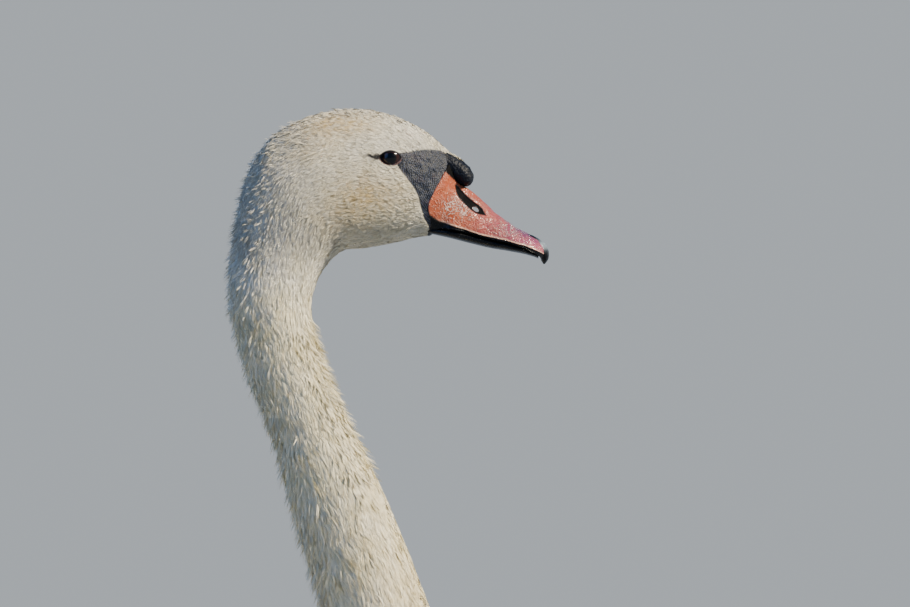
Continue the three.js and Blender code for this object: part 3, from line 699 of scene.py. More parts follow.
def leg_material():
    """Leg and web skin: black, leathery, with many-sided scales about 2.5 mm across and dusty edges."""
    material, tree, shader = start_material("leg skin", IOR=1.45, Coat_Weight=0.1, Coat_Roughness=0.35)
    scales = ramp(tree, cells(tree, 2.6, feature="DISTANCE_TO_EDGE"), 0.0, 0.16)
    fine = noise(tree, 1.2, 4, 0.6)
    tone = blended(tree, scales, colour("#3B3C3D"), colour("#17181A"))
    dusty = blended(tree, ramp(tree, noise(tree, 16, 4), 0.5, 0.75, 0, 0.35), tone, colour("#56534C"))
    tree.links.new(dusty, shader.inputs["Base Color"])
    tree.links.new(ramp(tree, fine, 0.3, 0.7, 0.42, 0.62), shader.inputs["Roughness"])
    bumped(tree, shader, maths(tree, "ADD", scales, times(tree, fine, 0.4)), 0.45, 0.85)
    return material


FEATHER = feather_material()
VANE = vane_material()
SKIN = skin_material()
BILL_SHEATH = bill_material()
# Each horn: name, dark tint, pale tint, roughness, grain and depth in millimetres, and shine.
KNOB_SKIN = horn_material("knob skin", colour("#05060A"), colour("#1E2431"), 0.5, 0.9, 0.15)
NOSTRIL_SKIN = horn_material("nostril skin", colour("#040405"), colour("#0A0A0C"), 0.75, 0.8, 0.08, 0.1)
BLACK_HORN = horn_material("black horn", colour("#050506"), colour("#101114"), 0.27, 0.8, 0.10)
EYE = eye_material()
LEG_SKIN = leg_material()


# ---- Markings, shared by skin and coat ---------------------------------------------------------------
def spot(x, z, at_x, at_z, wide, tall):
    """A soft spot: exp of minus the squared distance from its middle, in half widths."""
    return np.exp(-(((x - at_x) / wide) ** 2) - ((z - at_z) / tall) ** 2)


def markings(points):
    """Ivory warmth, ochre stain, a duller dun tone over the head and the dark eye line at places on the
    bird, from their x and height."""
    x, y, z = points[..., 0], points[..., 1], points[..., 2]
    neck = step(842, 780, z) * step(430, 520, z)
    throat = 0.25 * spot(x, z, -10, 866, 40, 30) - 0.25 * spot(x, z, 20, 915, 26, 12)
    warm = 0.22 + 0.12 * step(430, 520, z) + 0.46 * neck + throat
    cheek = spot(x, z, -13, 874, 25, 15) * 0.50 + spot(x, z, -30, 858, 24, 13) * 0.22
    crown = spot(x, z, -34, 923, 26, 8) * 0.55 + spot(x, z, -50, 908, 20, 12) * 0.22
    breast = spot(x, z, 10, 560, 60, 110) * 0.22 + spot(x, z, -20, 180, 170, 40) * 0.28
    face = (np.abs(y) > FACE_SIDE) * step(-30, -12, x)
    line = step(-0.6, 0.9, stroke(x, z, EYE_LINE)) * face
    over = step(900, 902, z)
    rim = step(1.3 + 1.0 * over, 0.4, outside_eye(x, z)) * face * mix(0.35, 0.55, over)
    return {"warm": np.clip(warm, 0, 1), "stain": np.clip(cheek + crown + breast, 0, 1),
            # The head, above the neck, takes a duller, darker dun tone.
            "head_dun": 0.6 * step(812, 852, z), "dark": np.clip(line + rim, 0, 1)}


# ---- The skin ----------------------------------------------------------------------------------------
def ring_distances():
    """Distances of the skin's rings: 0.6 mm apart on the face, wider and wider to 9 mm on the trunk."""
    marks = np.linspace(-0.6, BODY_END, 6000)
    apart = np.interp(marks, [0, 60, 150, 400, 800, BODY_END], [0.6, 0.7, 2.4, 5.5, 9, 8])
    turns = np.concatenate([[0], np.cumsum(np.diff(marks) / apart[:-1])])
    return np.interp(np.linspace(0, turns[-1], int(turns[-1]) + 1), turns, marks)


def skin_grid():
    """The body's surface, under the coat by its depth, pressed in behind the eyes and wrinkled where it is
    bare."""
    t = ring_distances()[:, None]
    points = bird_point(t, around(SKIN_COLUMNS), -coat_depth(t))
    x, y, z = points[..., 0], points[..., 1], points[..., 2]
    bare = step(-0.4, 0.5, bare_skin(x, z)) * (x > -2)
    out = outside_eye(x, z)
    near_eye = (np.abs(y) > FACE_SIDE) & (np.maximum(np.abs(x), np.abs(z - EYE_Z)) < EYE_AREA)
    press = 0.8 * step(4.4, 2.2, out) + 7.0 * step(1.8, -1.0, out)
    folds = 0.14 * waves(points, 2.4, 5) + 0.25 * waves(points, 7, 6)
    lower = np.where(near_eye, press, 0.0) - bare * folds * step(0, 6, out)
    points[..., 1] -= np.sign(y) * lower
    return points, bare


def lore_ring(points):
    """Distance from the point under the knob that the rows of beads on the bare skin circle."""
    return np.hypot(points[..., 0] - LORE_RINGS["x"], points[..., 2] - LORE_RINGS["z"])


def eyelids(side):
    """Rings from inside the eye's opening out to the skin: the eyeball's sphere, a raised rim with fine
    creases, two folds, then the skin, under which the last ring dips."""
    way = around(112)
    out = np.concatenate([np.linspace(-0.9, 1.6, 15), np.linspace(1.9, LID["reach"] + 0.6, 9)])[:, None]
    rim = lid_radius(way)
    reach = rim + out
    x = reach * np.cos(way)
    z = EYE_Z + reach * np.sin(way)
    held = np.minimum(reach, rim + 0.1)
    ball = EYE_Y + np.sqrt(np.maximum(EYE_RADIUS**2 - held**2, 4.0))
    crest = -0.5 + 1.25 * step(-0.9, 0.25, out) - 0.5 * step(0.55, 1.3, out)
    fold = 0.34 * bell(out, 1.75, 0.4) - 0.20 * bell(out, 2.45, 0.4) + 0.30 * step(3.4, 1.2, out)
    t, a = side_place(x, z)
    skin = body_point(t, a, -coat_depth(t))[..., 1]
    y = mix(ball + crest, skin + fold, step(0.1, 1.7, out))
    y = y - 0.6 * step(LID["reach"] - 0.6, LID["reach"] + 0.6, out)
    y = y + 0.07 * np.sin(way * 26) * bell(out, 0.8, 0.7)
    points = np.stack(np.broadcast_arrays(x, y * side, z), -1)
    below = step(0.35, -0.45, np.sin(way))
    lid = np.broadcast_to(below * bell(out, 0.45, 0.38) * 0.75, x.shape)
    brow = np.broadcast_to((1 - below) * step(1.0, 0.5, out), x.shape)
    edge = np.broadcast_to(step(1.2, 0.8, out), x.shape)
    bare = np.maximum(step(-0.4, 0.5, bare_skin(x, z)), edge)
    faces = grid_faces(len(out), way.shape[1])
    if side > 0:
        faces = faces[:, ::-1]
    return points.reshape(-1, 3), faces, bare.ravel(), lid.ravel(), brow.ravel()


# ---- Legs --------------------------------------------------------------------------------------------
def limb_surface(stops, radii, across, floor=-1e9):
    """A tapered round limb: a Hermite path through stops, with circles across it, cut flat at the floor."""
    stops, radii = np.asarray(stops, float), np.asarray(radii, float)
    knots = distances(stops)
    table = smooth_table(np.column_stack([stops, radii]), knots)
    across = np.asarray(across, float)

    def at(u, a, grow=0.0):
        u, a, grow = np.broadcast_arrays(np.asarray(u, float), a, grow)
        row = table(u * knots[-1])
        ahead = unit(table(u * knots[-1] + 0.5)[..., :3] - table(u * knots[-1] - 0.5)[..., :3])
        over = unit(np.cross(ahead, across))
        side = np.cross(over, ahead)
        radius = (row[..., 3] + grow)[..., None]
        points = row[..., :3] + radius * (over * np.cos(a)[..., None] + side * np.sin(a)[..., None])
        points[..., 2] = np.maximum(points[..., 2], floor)
        return points

    return at


def leg_places(side):
    """Hip, end of the feathers, ankle and foot joint of one leg."""
    stride = side * FOOT["stride"]
    hip = np.array([THIGH["x"] + stride * 0.3, side * THIGH["side"], THIGH["z"]])
    ankle = np.array([ANKLE["x"] + stride * 0.7, side * ANKLE["side"], ANKLE["z"]])
    joint = np.array([FOOT["joint_x"] + stride, side * FOOT["side"], FOOT["joint_z"]])
    return hip, ankle, joint


def thigh_surface(side):
    """The feathered thigh, from inside the belly to just over the ankle."""
    hip, ankle, _ = leg_places(side)
    stops = [hip, mix(hip, ankle, 0.55), mix(hip, ankle, 0.86)]
    return limb_surface(stops, [THIGH["radius"], THIGH["radius"] * 0.62, THIGH["end_radius"]], (0, 1, 0))


def claw_mesh(start, ahead, scale):
    """A curved cone: circles that shrink towards a point that bends down to the floor."""
    ahead = unit(ahead)
    tip = start + ahead * (CLAW_LENGTH * scale + 0.6)
    tip[2] = max(tip[2] - 2.6 * scale, 0.7)
    middle = start + ahead * CLAW_LENGTH * 0.55 * scale + np.array([0, 0, 0.5 * scale])
    radii = np.array([0.9, 1.0, 0.7, 0.12]) * CLAW_RADIUS * scale
    surface = limb_surface([start - ahead * 2, start + ahead * 0.6, middle, tip], radii,
                           np.cross([0, 0, 1.0], ahead), floor=0.15)
    return closed_loft(surface(column(0, 1, 14), around(20)))


def toe_mesh(joint, ahead, length, radius):
    """A toe: a limb with pads at its knuckles, flat under the sole, with scutes 3.2 mm apart on top."""
    shares = (-0.04, 0.16, 0.4, 0.72, 1)
    heights = (joint[2] - 3, radius * 1.35, radius * 0.62, radius * 0.56, radius * 0.44)
    stops = [[*(joint + ahead * length * share)[:2], height] for share, height in zip(shares, heights)]
    radii = np.array([1.35, 1.15, 1, 0.88, 0.66]) * radius
    surface = limb_surface(stops, radii, np.cross([0, 0, 1.0], ahead), floor=0.0)
    u, a = column(0, 1, 120), around(28)
    knuckle = sum(bell(u, place, 0.05) for place in (0.3, 0.56, 0.8))
    scute = np.abs(np.sin(u * length / 3.2 * math.pi)) ** 0.5
    top = step(-0.2, 0.7, np.cos(a))
    grow = 0.55 * knuckle * step(0.9, 0.2, np.cos(a)) + 0.32 * (scute - 0.7) * top
    round_end = -radius * 0.5 * step(0.965, 1.0, u) ** 2
    return closed_loft(surface(u, a, grow + round_end - 0.2))


def web_mesh(joint, first, second, first_length, second_length):
    """The web between two toes: straight lines from toe to toe, its front edge bowed in, a thin closed
    sheet with fine folds."""
    along = column(0.02, 0.93, 60)
    across = np.linspace(0, 1, 44)[None, :]
    one = joint[:2] + along[..., None] * first * first_length
    two = joint[:2] + along[..., None] * second * second_length
    flat = mix(one, two, across[..., None])
    sag = np.sin(math.pi * across)
    bow = 0.13 * sag * along**1.5
    flat = mix(flat, joint[:2], bow[..., None])
    height = 3.4 - 1.3 * sag * along + 0.28 * np.sin(across * 46 + along * 3) * sag
    height = height + (joint[2] - 7) * step(0.30, 0.0, along) * (1 - 0.3 * sag)
    thick = 0.9 + 0.6 * (1 - sag)
    top = np.concatenate([flat, height[..., None]], -1)
    low = np.concatenate([flat, np.maximum(height - thick, 0.35)[..., None]], -1)
    return closed_loft(np.concatenate([top, low[:, ::-1]], 1))


def make_claw(name, toe, start, ahead, scale=1.0):
    """One claw, a little paler where the floor rubs its underside."""
    points, faces = claw_mesh(start, ahead, scale)
    wear_and_glint = 0.12 * step(3.0, 0.5, points[:, 2])
    claw = build(f"claw_{name}_{toe}_horn", points, faces, BLACK_HORN, {"wear_and_glint": wear_and_glint})
    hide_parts(f"claw_{name}_{toe}")


def make_leg(side, name):
    """Shank, toes, webs and hind toe as one skin, with four claws."""
    hip, ankle, joint = leg_places(side)
    stops = [mix(hip, ankle, 0.80), ankle, mix(ankle, joint, 0.3), mix(ankle, joint, 0.7), joint]
    shank = limb_surface(stops, [9.0, ANKLE["radius"] - 0.3, 7.2, 6.8, 9.4], (0, 1, 0))
    u, a = column(0, 1, 130), around(44)
    scutes = 0.22 * np.sin(u * 150) * step(0.1, 0.9, np.cos(a))
    parts = [closed_loft(shank(u, a, 0.8 * (scutes + 0.5 * waves(shank(u, a), 16, 8))))]
    ways = {}
    for toe, (length, turn, radius) in TOES.items():
        angle = math.radians(-side * (turn + FOOT["toe_in"]))
        ways[toe] = np.array([math.cos(angle), math.sin(angle), 0.0])
        parts.append(toe_mesh(joint, ways[toe], length, radius))
        end = joint + ways[toe] * length
        end[2] = radius * 0.6
        make_claw(name, toe, end, ways[toe])
    for one, two in (("inner", "middle"), ("middle", "outer")):
        parts.append(web_mesh(joint, ways[one][:2], ways[two][:2], TOES[one][0], TOES[two][0]))
    start = np.array([joint[0] - 7, joint[1], HIND_TOE["height"]])
    end = start + np.array([-HIND_TOE["length"] - 2, -side * 5, -12])
    radii = np.array([1.0, 0.9, 0.7]) * HIND_TOE["radius"]
    hind = limb_surface([start, mix(start, end, 0.5) + [0, 0, 1.5], end], radii, (0, 1, 0))
    u = column(0, 1, 30)
    parts.append(closed_loft(hind(u, a, -1.6 * step(0.9, 1, u) ** 2)))
    points, faces = joined(parts)
    skin = build(f"leg_skin_{name}", points, faces, LEG_SKIN)
    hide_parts(f"shank_{name}", f"foot_{name}", f"hind_toe_{name}")
    make_claw(name, "hind", end, np.array([-1, -side * 0.2, -0.35]), 0.62)


# ---- Feathers: strips laid along a surface -----------------------------------------------------------
def measures(surface, u, v, grow):
    """Length of one unit of u and of v on a surface, and its outward normal, square to both ways along it
    and taken over NORMAL_REACH of v to each side, so that it turns softly over the edge of the folded
    wing."""
    small = 1e-3
    here = surface(u, v, grow)
    by_u = (surface(u + small, v, grow) - here) / small
    by_v = (surface(u, v + small, grow) - here) / small
    round_ = surface(u, v + NORMAL_REACH, grow) - surface(u, v - NORMAL_REACH, grow)
    out = unit(np.cross(by_u, round_))
    away = np.einsum("...i,...i->...", out, surface(u, v, grow + 1.0) - here)
    unit_v = np.maximum(np.linalg.norm(by_v, axis=-1), 1e-3)
    return np.linalg.norm(by_u, axis=-1), unit_v, out * np.sign(away)[..., None]


def scatter(surface, count, u_range, v_range, rows=240, columns=128):
    """Evenly spread places on a surface. Place i of the unit square is at 0.5 plus i over the plastic
    number and at 0.5 plus i over its square, less their whole parts. The square is laid on the surface so
    that equal parts cover equal areas, and each place is then moved by a quarter of the spacing, at
    random."""
    u = np.linspace(*u_range, rows)
    v = np.linspace(*v_range, columns + 1)
    grid_u, grid_v = np.meshgrid(u, (v[1:] + v[:-1]) / 2, indexing="ij")
    by_u, by_v, _ = measures(surface, grid_u, grid_v, 0.0)
    area = by_u * by_v
    row_area = area.sum(1)
    row_share = np.concatenate([[0], np.cumsum((row_area[1:] + row_area[:-1]) / 2)])
    i = np.arange(1, count + 1)
    found_u = np.interp((0.5 + i / PLASTIC) % 1, row_share / row_share[-1], u)
    row = np.clip(((found_u - u[0]) / (u[-1] - u[0]) * (rows - 1)).round().astype(int), 0, rows - 1)
    share = np.concatenate([np.zeros((rows, 1)), np.cumsum(area, 1)], 1)
    share /= share[:, -1:]
    wanted = (0.5 + i / PLASTIC**2) % 1
    at = np.searchsorted((share + np.arange(rows)[:, None] * 2).ravel(), row * 2 + wanted) - 1
    near = np.clip(at - row * (columns + 1), 0, columns - 1)
    low, high = share[row, near], share[row, near + 1]
    part = (wanted - low) / np.maximum(high - low, 1e-9)
    found_v = v[0] + (near + part) * (v[-1] - v[0]) / columns
    spacing = math.sqrt(area.sum() * (u[1] - u[0]) * (v[1] - v[0]) / count)
    by_u, by_v, _ = measures(surface, found_u, found_v, 0.0)
    found_u = found_u + RANDOM.normal(0, 0.25, count) * spacing / by_u
    found_v = found_v + RANDOM.normal(0, 0.25, count) * spacing / by_v
    return found_u, found_v


def varied(ends, share, low, high):
    """Sizes between two ends by a share, each times its own random factor from low to high."""
    return mix(*ends, share) * RANDOM.uniform(low, high, len(share))


def strips(surface, u, v, length, width, turn, low, high, rolled, fullness=0.5, lift=0.8):
    """Spear-shaped blades along a surface: from its root each path runs its length at angle turn from +u
    and rises from low to high, by the share lift at its middle, where it is widest; it is rolled about its
    line."""
    by_u, by_v, out = measures(surface, u, v, low)
    s = column(0, 1, 3)
    path_u = u + s * length * np.cos(turn) / by_u
    path_v = v + s * length * np.sin(turn) / by_v
    middle = surface(path_u, path_v, mix(low, high, np.array([0, lift, 1])[:, None]))
    side = unit(np.cross(out[None], np.gradient(middle, axis=0)))
    side = side * np.cos(rolled)[:, None] + out * np.sin(rolled)[:, None]
    half = np.array([0.36, fullness])[:, None, None] * width[:, None]
    left, right = middle[:2] + side[:2] * half, middle[:2] - side[:2] * half
    points = np.stack([left[0], right[0], left[1], right[1], middle[2]], 1)
    base = np.arange(len(u))[:, None] * BLADE_POINTS
    faces = [base + [0, 1, 3, 2], base + [2, 3, 4]]
    along = np.tile([0, 0, 0.5, 0.5, 1.0], len(u))
    across = np.tile([-1, 1, -1, 1, 0], len(u))
    return points.reshape(-1, 3), faces, BLADE_POINTS, across, {"along": along}


def tufts(surface, u, v, blades, length, width, turn, low, high, spread, roll=0.32, **more):
    """Tufts of blades: roots scattered round each tuft's middle, tips drawn together by more than half. The
    blades of a tuft share its lie, its rise, its roll and its tone, and differ from each other a little."""
    by_u, by_v, _ = measures(surface, u, v, 0.0)
    shape = (len(u), blades)
    drawn = 0.6
    off_u = RANDOM.normal(0, 1.3, shape) * spread[:, None]
    off_v = RANDOM.normal(0, 1.0, shape) * spread[:, None]
    du = (length * np.cos(turn))[:, None] * RANDOM.uniform(0.85, 1.12, shape) - drawn * off_u
    dv = (length * np.sin(turn))[:, None] - drawn * off_v + RANDOM.normal(0, 0.15, shape)
    root_u = (u[:, None] + off_u / by_u[:, None]).ravel()
    root_v = (v[:, None] + off_v / by_v[:, None]).ravel()
    highs = (high[:, None] + RANDOM.normal(0, 0.10, shape)).ravel()
    rolled = (RANDOM.normal(0, roll, len(u))[:, None] + RANDOM.normal(0, 0.22, shape)).ravel()
    tone = (0.75 * RANDOM.uniform(0, 1, len(u))[:, None] + 0.25 * RANDOM.uniform(0, 1, shape)).ravel()
    made = strips(surface, root_u, root_v, np.hypot(du, dv).ravel(), np.repeat(width, blades),
                  np.arctan2(dv, du).ravel(), np.repeat(low, blades), highs, rolled, **more)
    return root_u, root_v, surface, made, tone


def coat(name, groups, material, unwrap):
    """One mesh of feathers. Each feather has its patch of the OFBake map at its root's place on the unwrap,
    and the markings of its root; a group without tones draws one for each feather."""
    parts, uv, marks = [], [], {}
    for u, v, surface, made, tone in groups:
        points, faces, per, across, own = made
        parts.append((points, faces))
        patch = PATCH * np.stack([across / 2, own["along"] - 0.5], -1)
        uv.append(np.repeat(unwrap(u, v), per, axis=0) + patch)
        values = markings(surface(u, v, 0.0))
        values["strand"] = RANDOM.uniform(0, 1, len(u)) if tone is None else tone
        values = {key: np.repeat(value, per) for key, value in values.items()}
        for key, value in (values | own).items():
            marks.setdefault(key, []).append(value)
    points, faces = joined(parts)
    attributes = {key: np.concatenate(values) for key, values in marks.items()}
    piece = build(name, points, faces, material, attributes, np.concatenate(uv))


def unwrapped(along, across):
    """A place on the OFBake map from shares along and across, a hundredth inside the map's edge."""
    return np.stack([0.01 + 0.98 * np.clip(along, 0, 1), 0.01 + 0.98 * across], -1)


def stretch_unwrap(low, high):
    """Places on one stretch of the skin's own grid: share of its length, share of the way round."""
    return lambda u, v: unwrapped((u - low) / (high - low), (v / TAU) % 1)


def wing_unwrap(u, v):
    """Places on the folded wing's own grid: share along it and share across it."""
    return unwrapped(u, np.clip(v, 0, 1))


def keep(mask, *arrays):
    """The same places of several arrays."""
    return [array[mask] for array in arrays]


def feathered_face(u, v):
    """True where feathers grow on the head: off the bare skin, the bill and the eyes."""
    points = body_point(u, v, 0.0)
    x, y, z = points[..., 0], points[..., 1], points[..., 2]
    bare = (bare_skin(x, z) > 0.15) & (np.abs(y) > 4) & (x > 0)
    behind_bill = orange_horn(x, z) < -0.2
    knob = (z > KNOB_EDGE_AT(x) + 6) | (np.abs(y) > FACE_SIDE) | (x < 26)
    eye = (outside_eye(x, z) > np.where(z > EYE_Z, 1.1, 0.5)) | (np.abs(x) > 15)
    return ~bare & behind_bill & eye & knob


def face_turn(u, v, spread):
    """Which way feathers lie: back along the body, parted round the eye, with a soft wander."""
    points = body_point(u, v, 0.0)
    x, z = points[..., 0], points[..., 2] - EYE_Z
    near = bell(np.hypot(x - 2, z), 0, 13) * (np.abs(points[..., 1]) > FACE_SIDE)
    side = np.where(wrapped(v) > 0, 1, -1)
    part = -np.tanh(z / 4) * 0.55 * near * step(-6, 5, x) * side
    wander = 0.18 * waves(points, 19, 21) + 0.07 * waves(points, 7, 22)
    return part + wander + RANDOM.normal(0, spread, np.shape(u))


def widened(width):
    return width * (1.0 if SHARE == 1 else 1.5)


def face_coat():
    """Short velvet feathers on the face, from the bill to behind the eye, and the white wedge over the
    knob. They are shortest round the eye and the bare skin, and some on the crown stand up."""
    end = 95.0
    u, v = scatter(body_point, int(17500 * SHARE), (0.0, end), (0, TAU))
    u, v = keep(feathered_face(u, v) & (u > -0.5), u, v)
    points = body_point(u, v, 0.0)
    x, z = points[:, 0], points[:, 2]
    out = np.where(np.abs(points[:, 1]) > FACE_SIDE, outside_eye(x, z), 99)
    rim = np.minimum(np.clip(out / 9, 0, 1), np.clip(-bare_skin(x, z) / 7, 0, 1))
    length = (1.7 + 2.5 * rim + 1.6 * step(45, end, u)) * RANDOM.uniform(0.7, 1.3, len(u))
    width = widened((0.42 + 0.24 * rim) * RANDOM.uniform(0.85, 1.15, len(u)))
    crown = step(0.86, 0.985, np.cos(v)) * step(6, 30, u)
    uneven = RANDOM.normal(0, 0.14, len(u)) * (0.4 + 0.6 * rim)
    high = 0.05 + uneven + 0.26 * crown * RANDOM.exponential(1.0, len(u)) ** 1.3
    velvet = tufts(body_point, u, v, 4, length, width, face_turn(u, v, 0.11), -coat_depth(u), high,
                   0.40 + 0.25 * rim, roll=0.42)
    count = int(700 * SHARE)
    knob_u = 24.5 - 11.0 * RANDOM.uniform(0, 1, count) ** 0.7
    knob_v = RANDOM.uniform(-1, 1, count) * 0.55 * (1 - step(13, 25.5, knob_u))
    length = RANDOM.uniform(1.8, 3.4, count)
    turn = math.pi + RANDOM.normal(0, 0.14, count)
    high = RANDOM.uniform(0.3, 1.1, count)
    width = widened(np.full(count, 0.42))
    made = strips(knob_point, knob_u, knob_v, length, width, turn, np.full(count, -0.3), high,
                  RANDOM.normal(0, 0.3, count))
    wedge = (knob_u, knob_v, knob_point, made, RANDOM.uniform(0, 1, count))
    coat("face_feathers", [velvet, wedge], FEATHER, stretch_unwrap(0, end))


def proudness(u, v):
    """How far locks stand out: most down the nape and the front of the neck, least on the face."""
    nape = step(0.05, 0.8, np.cos(v))
    front = step(0.1, 0.9, -np.cos(v))
    return 0.35 + nape * (0.6 * step(20, 60, u) + 1.7 * step(80, 130, u)) + 2.3 * front * step(176, 205, u)


def standing_locks(low, high_u, count, long, wide):
    """Locks of four blades whose shared tip stands proud of the coat, by 6 mm at most."""
    u, v = scatter(body_point, count, (low, high_u), (0, TAU))
    u, v = keep(feathered_face(u, v), u, v)
    length = long * RANDOM.uniform(0.9, 1.5, len(u))
    stand = np.minimum((0.3 + RANDOM.exponential(1.0, len(u))) * proudness(u, v), 6.0)
    width = widened(np.full(len(u), wide * 0.66))
    return tufts(body_point, u, v, 4, length, width, face_turn(u, v, 0.14), -coat_depth(u), stand,
                 np.full(len(u), long * 0.06), roll=0.4, fullness=0.75, lift=0.42)


def hairs(low, high_u, count, long):
    """Loose hair-thin barbs that stand out over the nape."""
    u, v = scatter(body_point, count, (low, high_u), (-1.35, 1.35))
    length = long * RANDOM.uniform(0.8, 1.5, len(u))
    high = RANDOM.uniform(0.6, 2.9, len(u)) * step(-0.1, 0.5, np.cos(v))
    width = widened(np.full(len(u), 0.20))
    made = strips(body_point, u, v, length, width, face_turn(u, v, 0.20), -coat_depth(u), high,
                  RANDOM.normal(0, 0.5, len(u)))
    return u, v, body_point, made, RANDOM.uniform(0.5, 1, len(u))


def stream_coat(name, low, high_u, count, long, wide, lock_count, lock_long, hair_count=0):
    """Fine narrow feathers that stream back over the head and down the neck, in tufts of five, with pointed
    locks and loose barbs. Long and wide are their sizes at both ends of the stretch."""
    u, v = scatter(body_point, int(count * SHARE), (low, high_u), (0, TAU))
    far = step(low, high_u, u)
    length = varied(long, far, 0.7, 1.3)
    width = widened(varied(wide, far, 1.0, 1.4))
    high = 0.1 + RANDOM.normal(0, 0.24, len(u))
    groups = [tufts(body_point, u, v, 5, length, width, face_turn(u, v, 0.09), -coat_depth(u), high,
                    0.075 * length + 0.1),
              standing_locks(low, high_u, int(lock_count * SHARE), lock_long, wide[0])]
    if hair_count:
        groups.append(hairs(low, high_u, int(hair_count * SHARE), long[1]))
    coat(name, groups, FEATHER, stretch_unwrap(low, high_u))


FAN_TURN = 0.44  # how far a contour feather's outermost blades turn out
FAN_OVERLAP = 3.1  # a blade's width, in its own shares of the feather's width


def fan(surface, u, v, length, width, turn, low, high, blades=11):
    """A contour feather: blades that fan out from one root and overlap, the outer ones shorter and lower,
    so that its tip is round and frayed."""
    q = np.linspace(-1, 1, blades)[None, :]
    shape = (len(u), blades)
    turns = turn[:, None] + FAN_TURN * q + RANDOM.normal(0, 0.03, shape)
    lengths = length[:, None] * (1 - 0.24 * q * q) * RANDOM.uniform(0.92, 1.06, shape)
    highs = high[:, None] - 0.5 * q**2 + RANDOM.normal(0, 0.05, shape)
    rolled = RANDOM.normal(0, 0.07, len(u))[:, None] + RANDOM.normal(0, 0.06, shape)
    tone = 0.45 + 0.4 * RANDOM.uniform(0, 1, len(u))[:, None] + 0.15 * RANDOM.uniform(0, 1, shape)
    u, v, widths, lows = (np.repeat(x, blades) for x in (u, v, width / blades * FAN_OVERLAP, low))
    made = strips(surface, u, v, lengths.ravel(), widths, turns.ravel(), lows, highs.ravel(),
                  rolled.ravel())
    return u, v, surface, made, tone.ravel()


def trunk_coat(name, low, high_u, count, long, wide):
    """Overlapping contour feathers on breast, belly, flanks, back and rump. Under the folded wings 45 in
    100 are kept, and lie deeper; over the thighs they are longer, stand out and drape down."""
    u, v = scatter(bird_point, int(count * SHARE), (low, high_u), (0, TAU))
    share, across = wing_share(u, v)
    covered = (share > 0.05) & (share < 0.80) & (across > 0.10) & (across < 0.97)
    kept = ~covered | (RANDOM.uniform(0, 1, len(u)) < 0.45)
    u, v, covered = keep(kept, u, v, covered)
    far = step(low, high_u, u)
    length = varied(long, far, 0.8, 1.2)
    width = widened(varied(wide, far, 0.85, 1.15))
    points = bird_point(u, v, 0.0)
    drape = spot(points[:, 0], points[:, 2], THIGH["x"] + 12, THIGH["z"] + 24, 62, 40)
    length = length * (1 + 0.5 * drape)
    wander = 0.14 * waves(points, 60, 51) + RANDOM.normal(0, 0.08, len(u))
    turn = wander + 0.75 * drape * np.sign(wrapped(v))
    root = -coat_depth(u) - 2.0 * covered
    high = RANDOM.normal(0, 0.3, len(u)) - 3.5 * covered + 3.0 * drape
    groups = [fan(bird_point, u, v, length, width, turn, root, high)]
    coat(name, groups, FEATHER, stretch_unwrap(low, high_u))


# ---- Vanes: the large feathers of wing and tail ------------------------------------------------------
def vanes(surface, u, v, length, width, turn, low, high, tip=0.8, rows=14, columns=7, camber=0.3, tilt=0.6):
    """Large feathers: a grid along each shaft, narrow at the root, its end an ellipse tip times its width
    long. Its height rises from low to high, arches over the shaft and tilts, so that each lies over the
    edge of the next one down. Its edge is notched where barbs part."""
    by_u, by_v, _ = measures(surface, u, v, low)
    s = (1 - (1 - np.linspace(0, 1, rows)) ** 1.5)[:, None, None]
    q = np.linspace(-1, 1, columns)[None, :, None]
    start = np.maximum(0.4, 1 - tip * width / length)
    bent = np.clip((s - start) / (1 - start), 0, 1)
    outline = np.sqrt(np.clip(1 - bent**2.3, 0, 1)) * step(-0.22, 0.34, s) ** 0.8
    notch = 1 + 0.06 * np.sin(s * 41 + RANDOM.uniform(0, TAU, len(u))) * np.abs(q) ** 3 * step(0.3, 0.6, s)
    side = q * outline * notch * width / 2
    forward = s * length
    path_u = u + (forward * np.cos(turn) - side * np.sin(turn)) / by_u
    path_v = v + (forward * np.sin(turn) + side * np.cos(turn)) / by_v
    shaft = bell(q, 0, 0.10) * 0.25 * (1 - 0.7 * s)
    rise = mix(low, high, s**0.85) + camber * (1 - q * q) * (1 - 0.35 * s) + shaft + tilt * q * outline
    points = np.moveaxis(surface(path_u, path_v, rise), 2, 0)
    per = rows * columns
    faces = grid_faces(rows, columns, closed=False)[None] + (np.arange(len(u)) * per)[:, None, None]
    along, across, barb = (np.moveaxis(np.broadcast_to(x, (rows, columns, len(u))), 2, 0).ravel()
                           for x in (s, q, forward - np.abs(side) * 0.9))
    return points.reshape(-1, 3), [faces.reshape(-1, 4)], per, across, {"along": along, "barb": barb}


def wing_surface(side):
    """The folded wing: share along it, share across it from the back line down, and height over it."""

    def at(share, across, grow=0.0):
        share, across, grow = np.broadcast_arrays(share, across, grow)
        top, bottom = wing_edges(share)
        t = WING_START + share * (WING_END - WING_START)
        a = side * (top + (bottom - top) * across)
        return body_point(t, a, wing_height(t, a) + grow)

    return at


def wing_row(surface, roots, across, count, long, wide, lift, tip=0.75, turn=0.02, **more):
    """A row of wing feathers, their roots on a line across the wing, from near the back to the lower edge.
    Each pair gives a size at both ends of the row; lift gives the height of root and tip."""
    place = np.linspace(0, 1, count)
    v = mix(*across, place) + RANDOM.normal(0, 0.005, count)
    u = mix(*roots, place) + RANDOM.normal(0, 0.003, count)
    length = varied(long, place, 0.96, 1.04)
    width = varied(wide, place, 0.94, 1.06)
    turns = turn + RANDOM.normal(0, 0.025, count)
    over = RANDOM.normal(0, 0.05, count)
    made = vanes(surface, u, v, length, width, turns, lift[0] + over, lift[1] + over, tip, **more)
    return u, v, surface, made, None


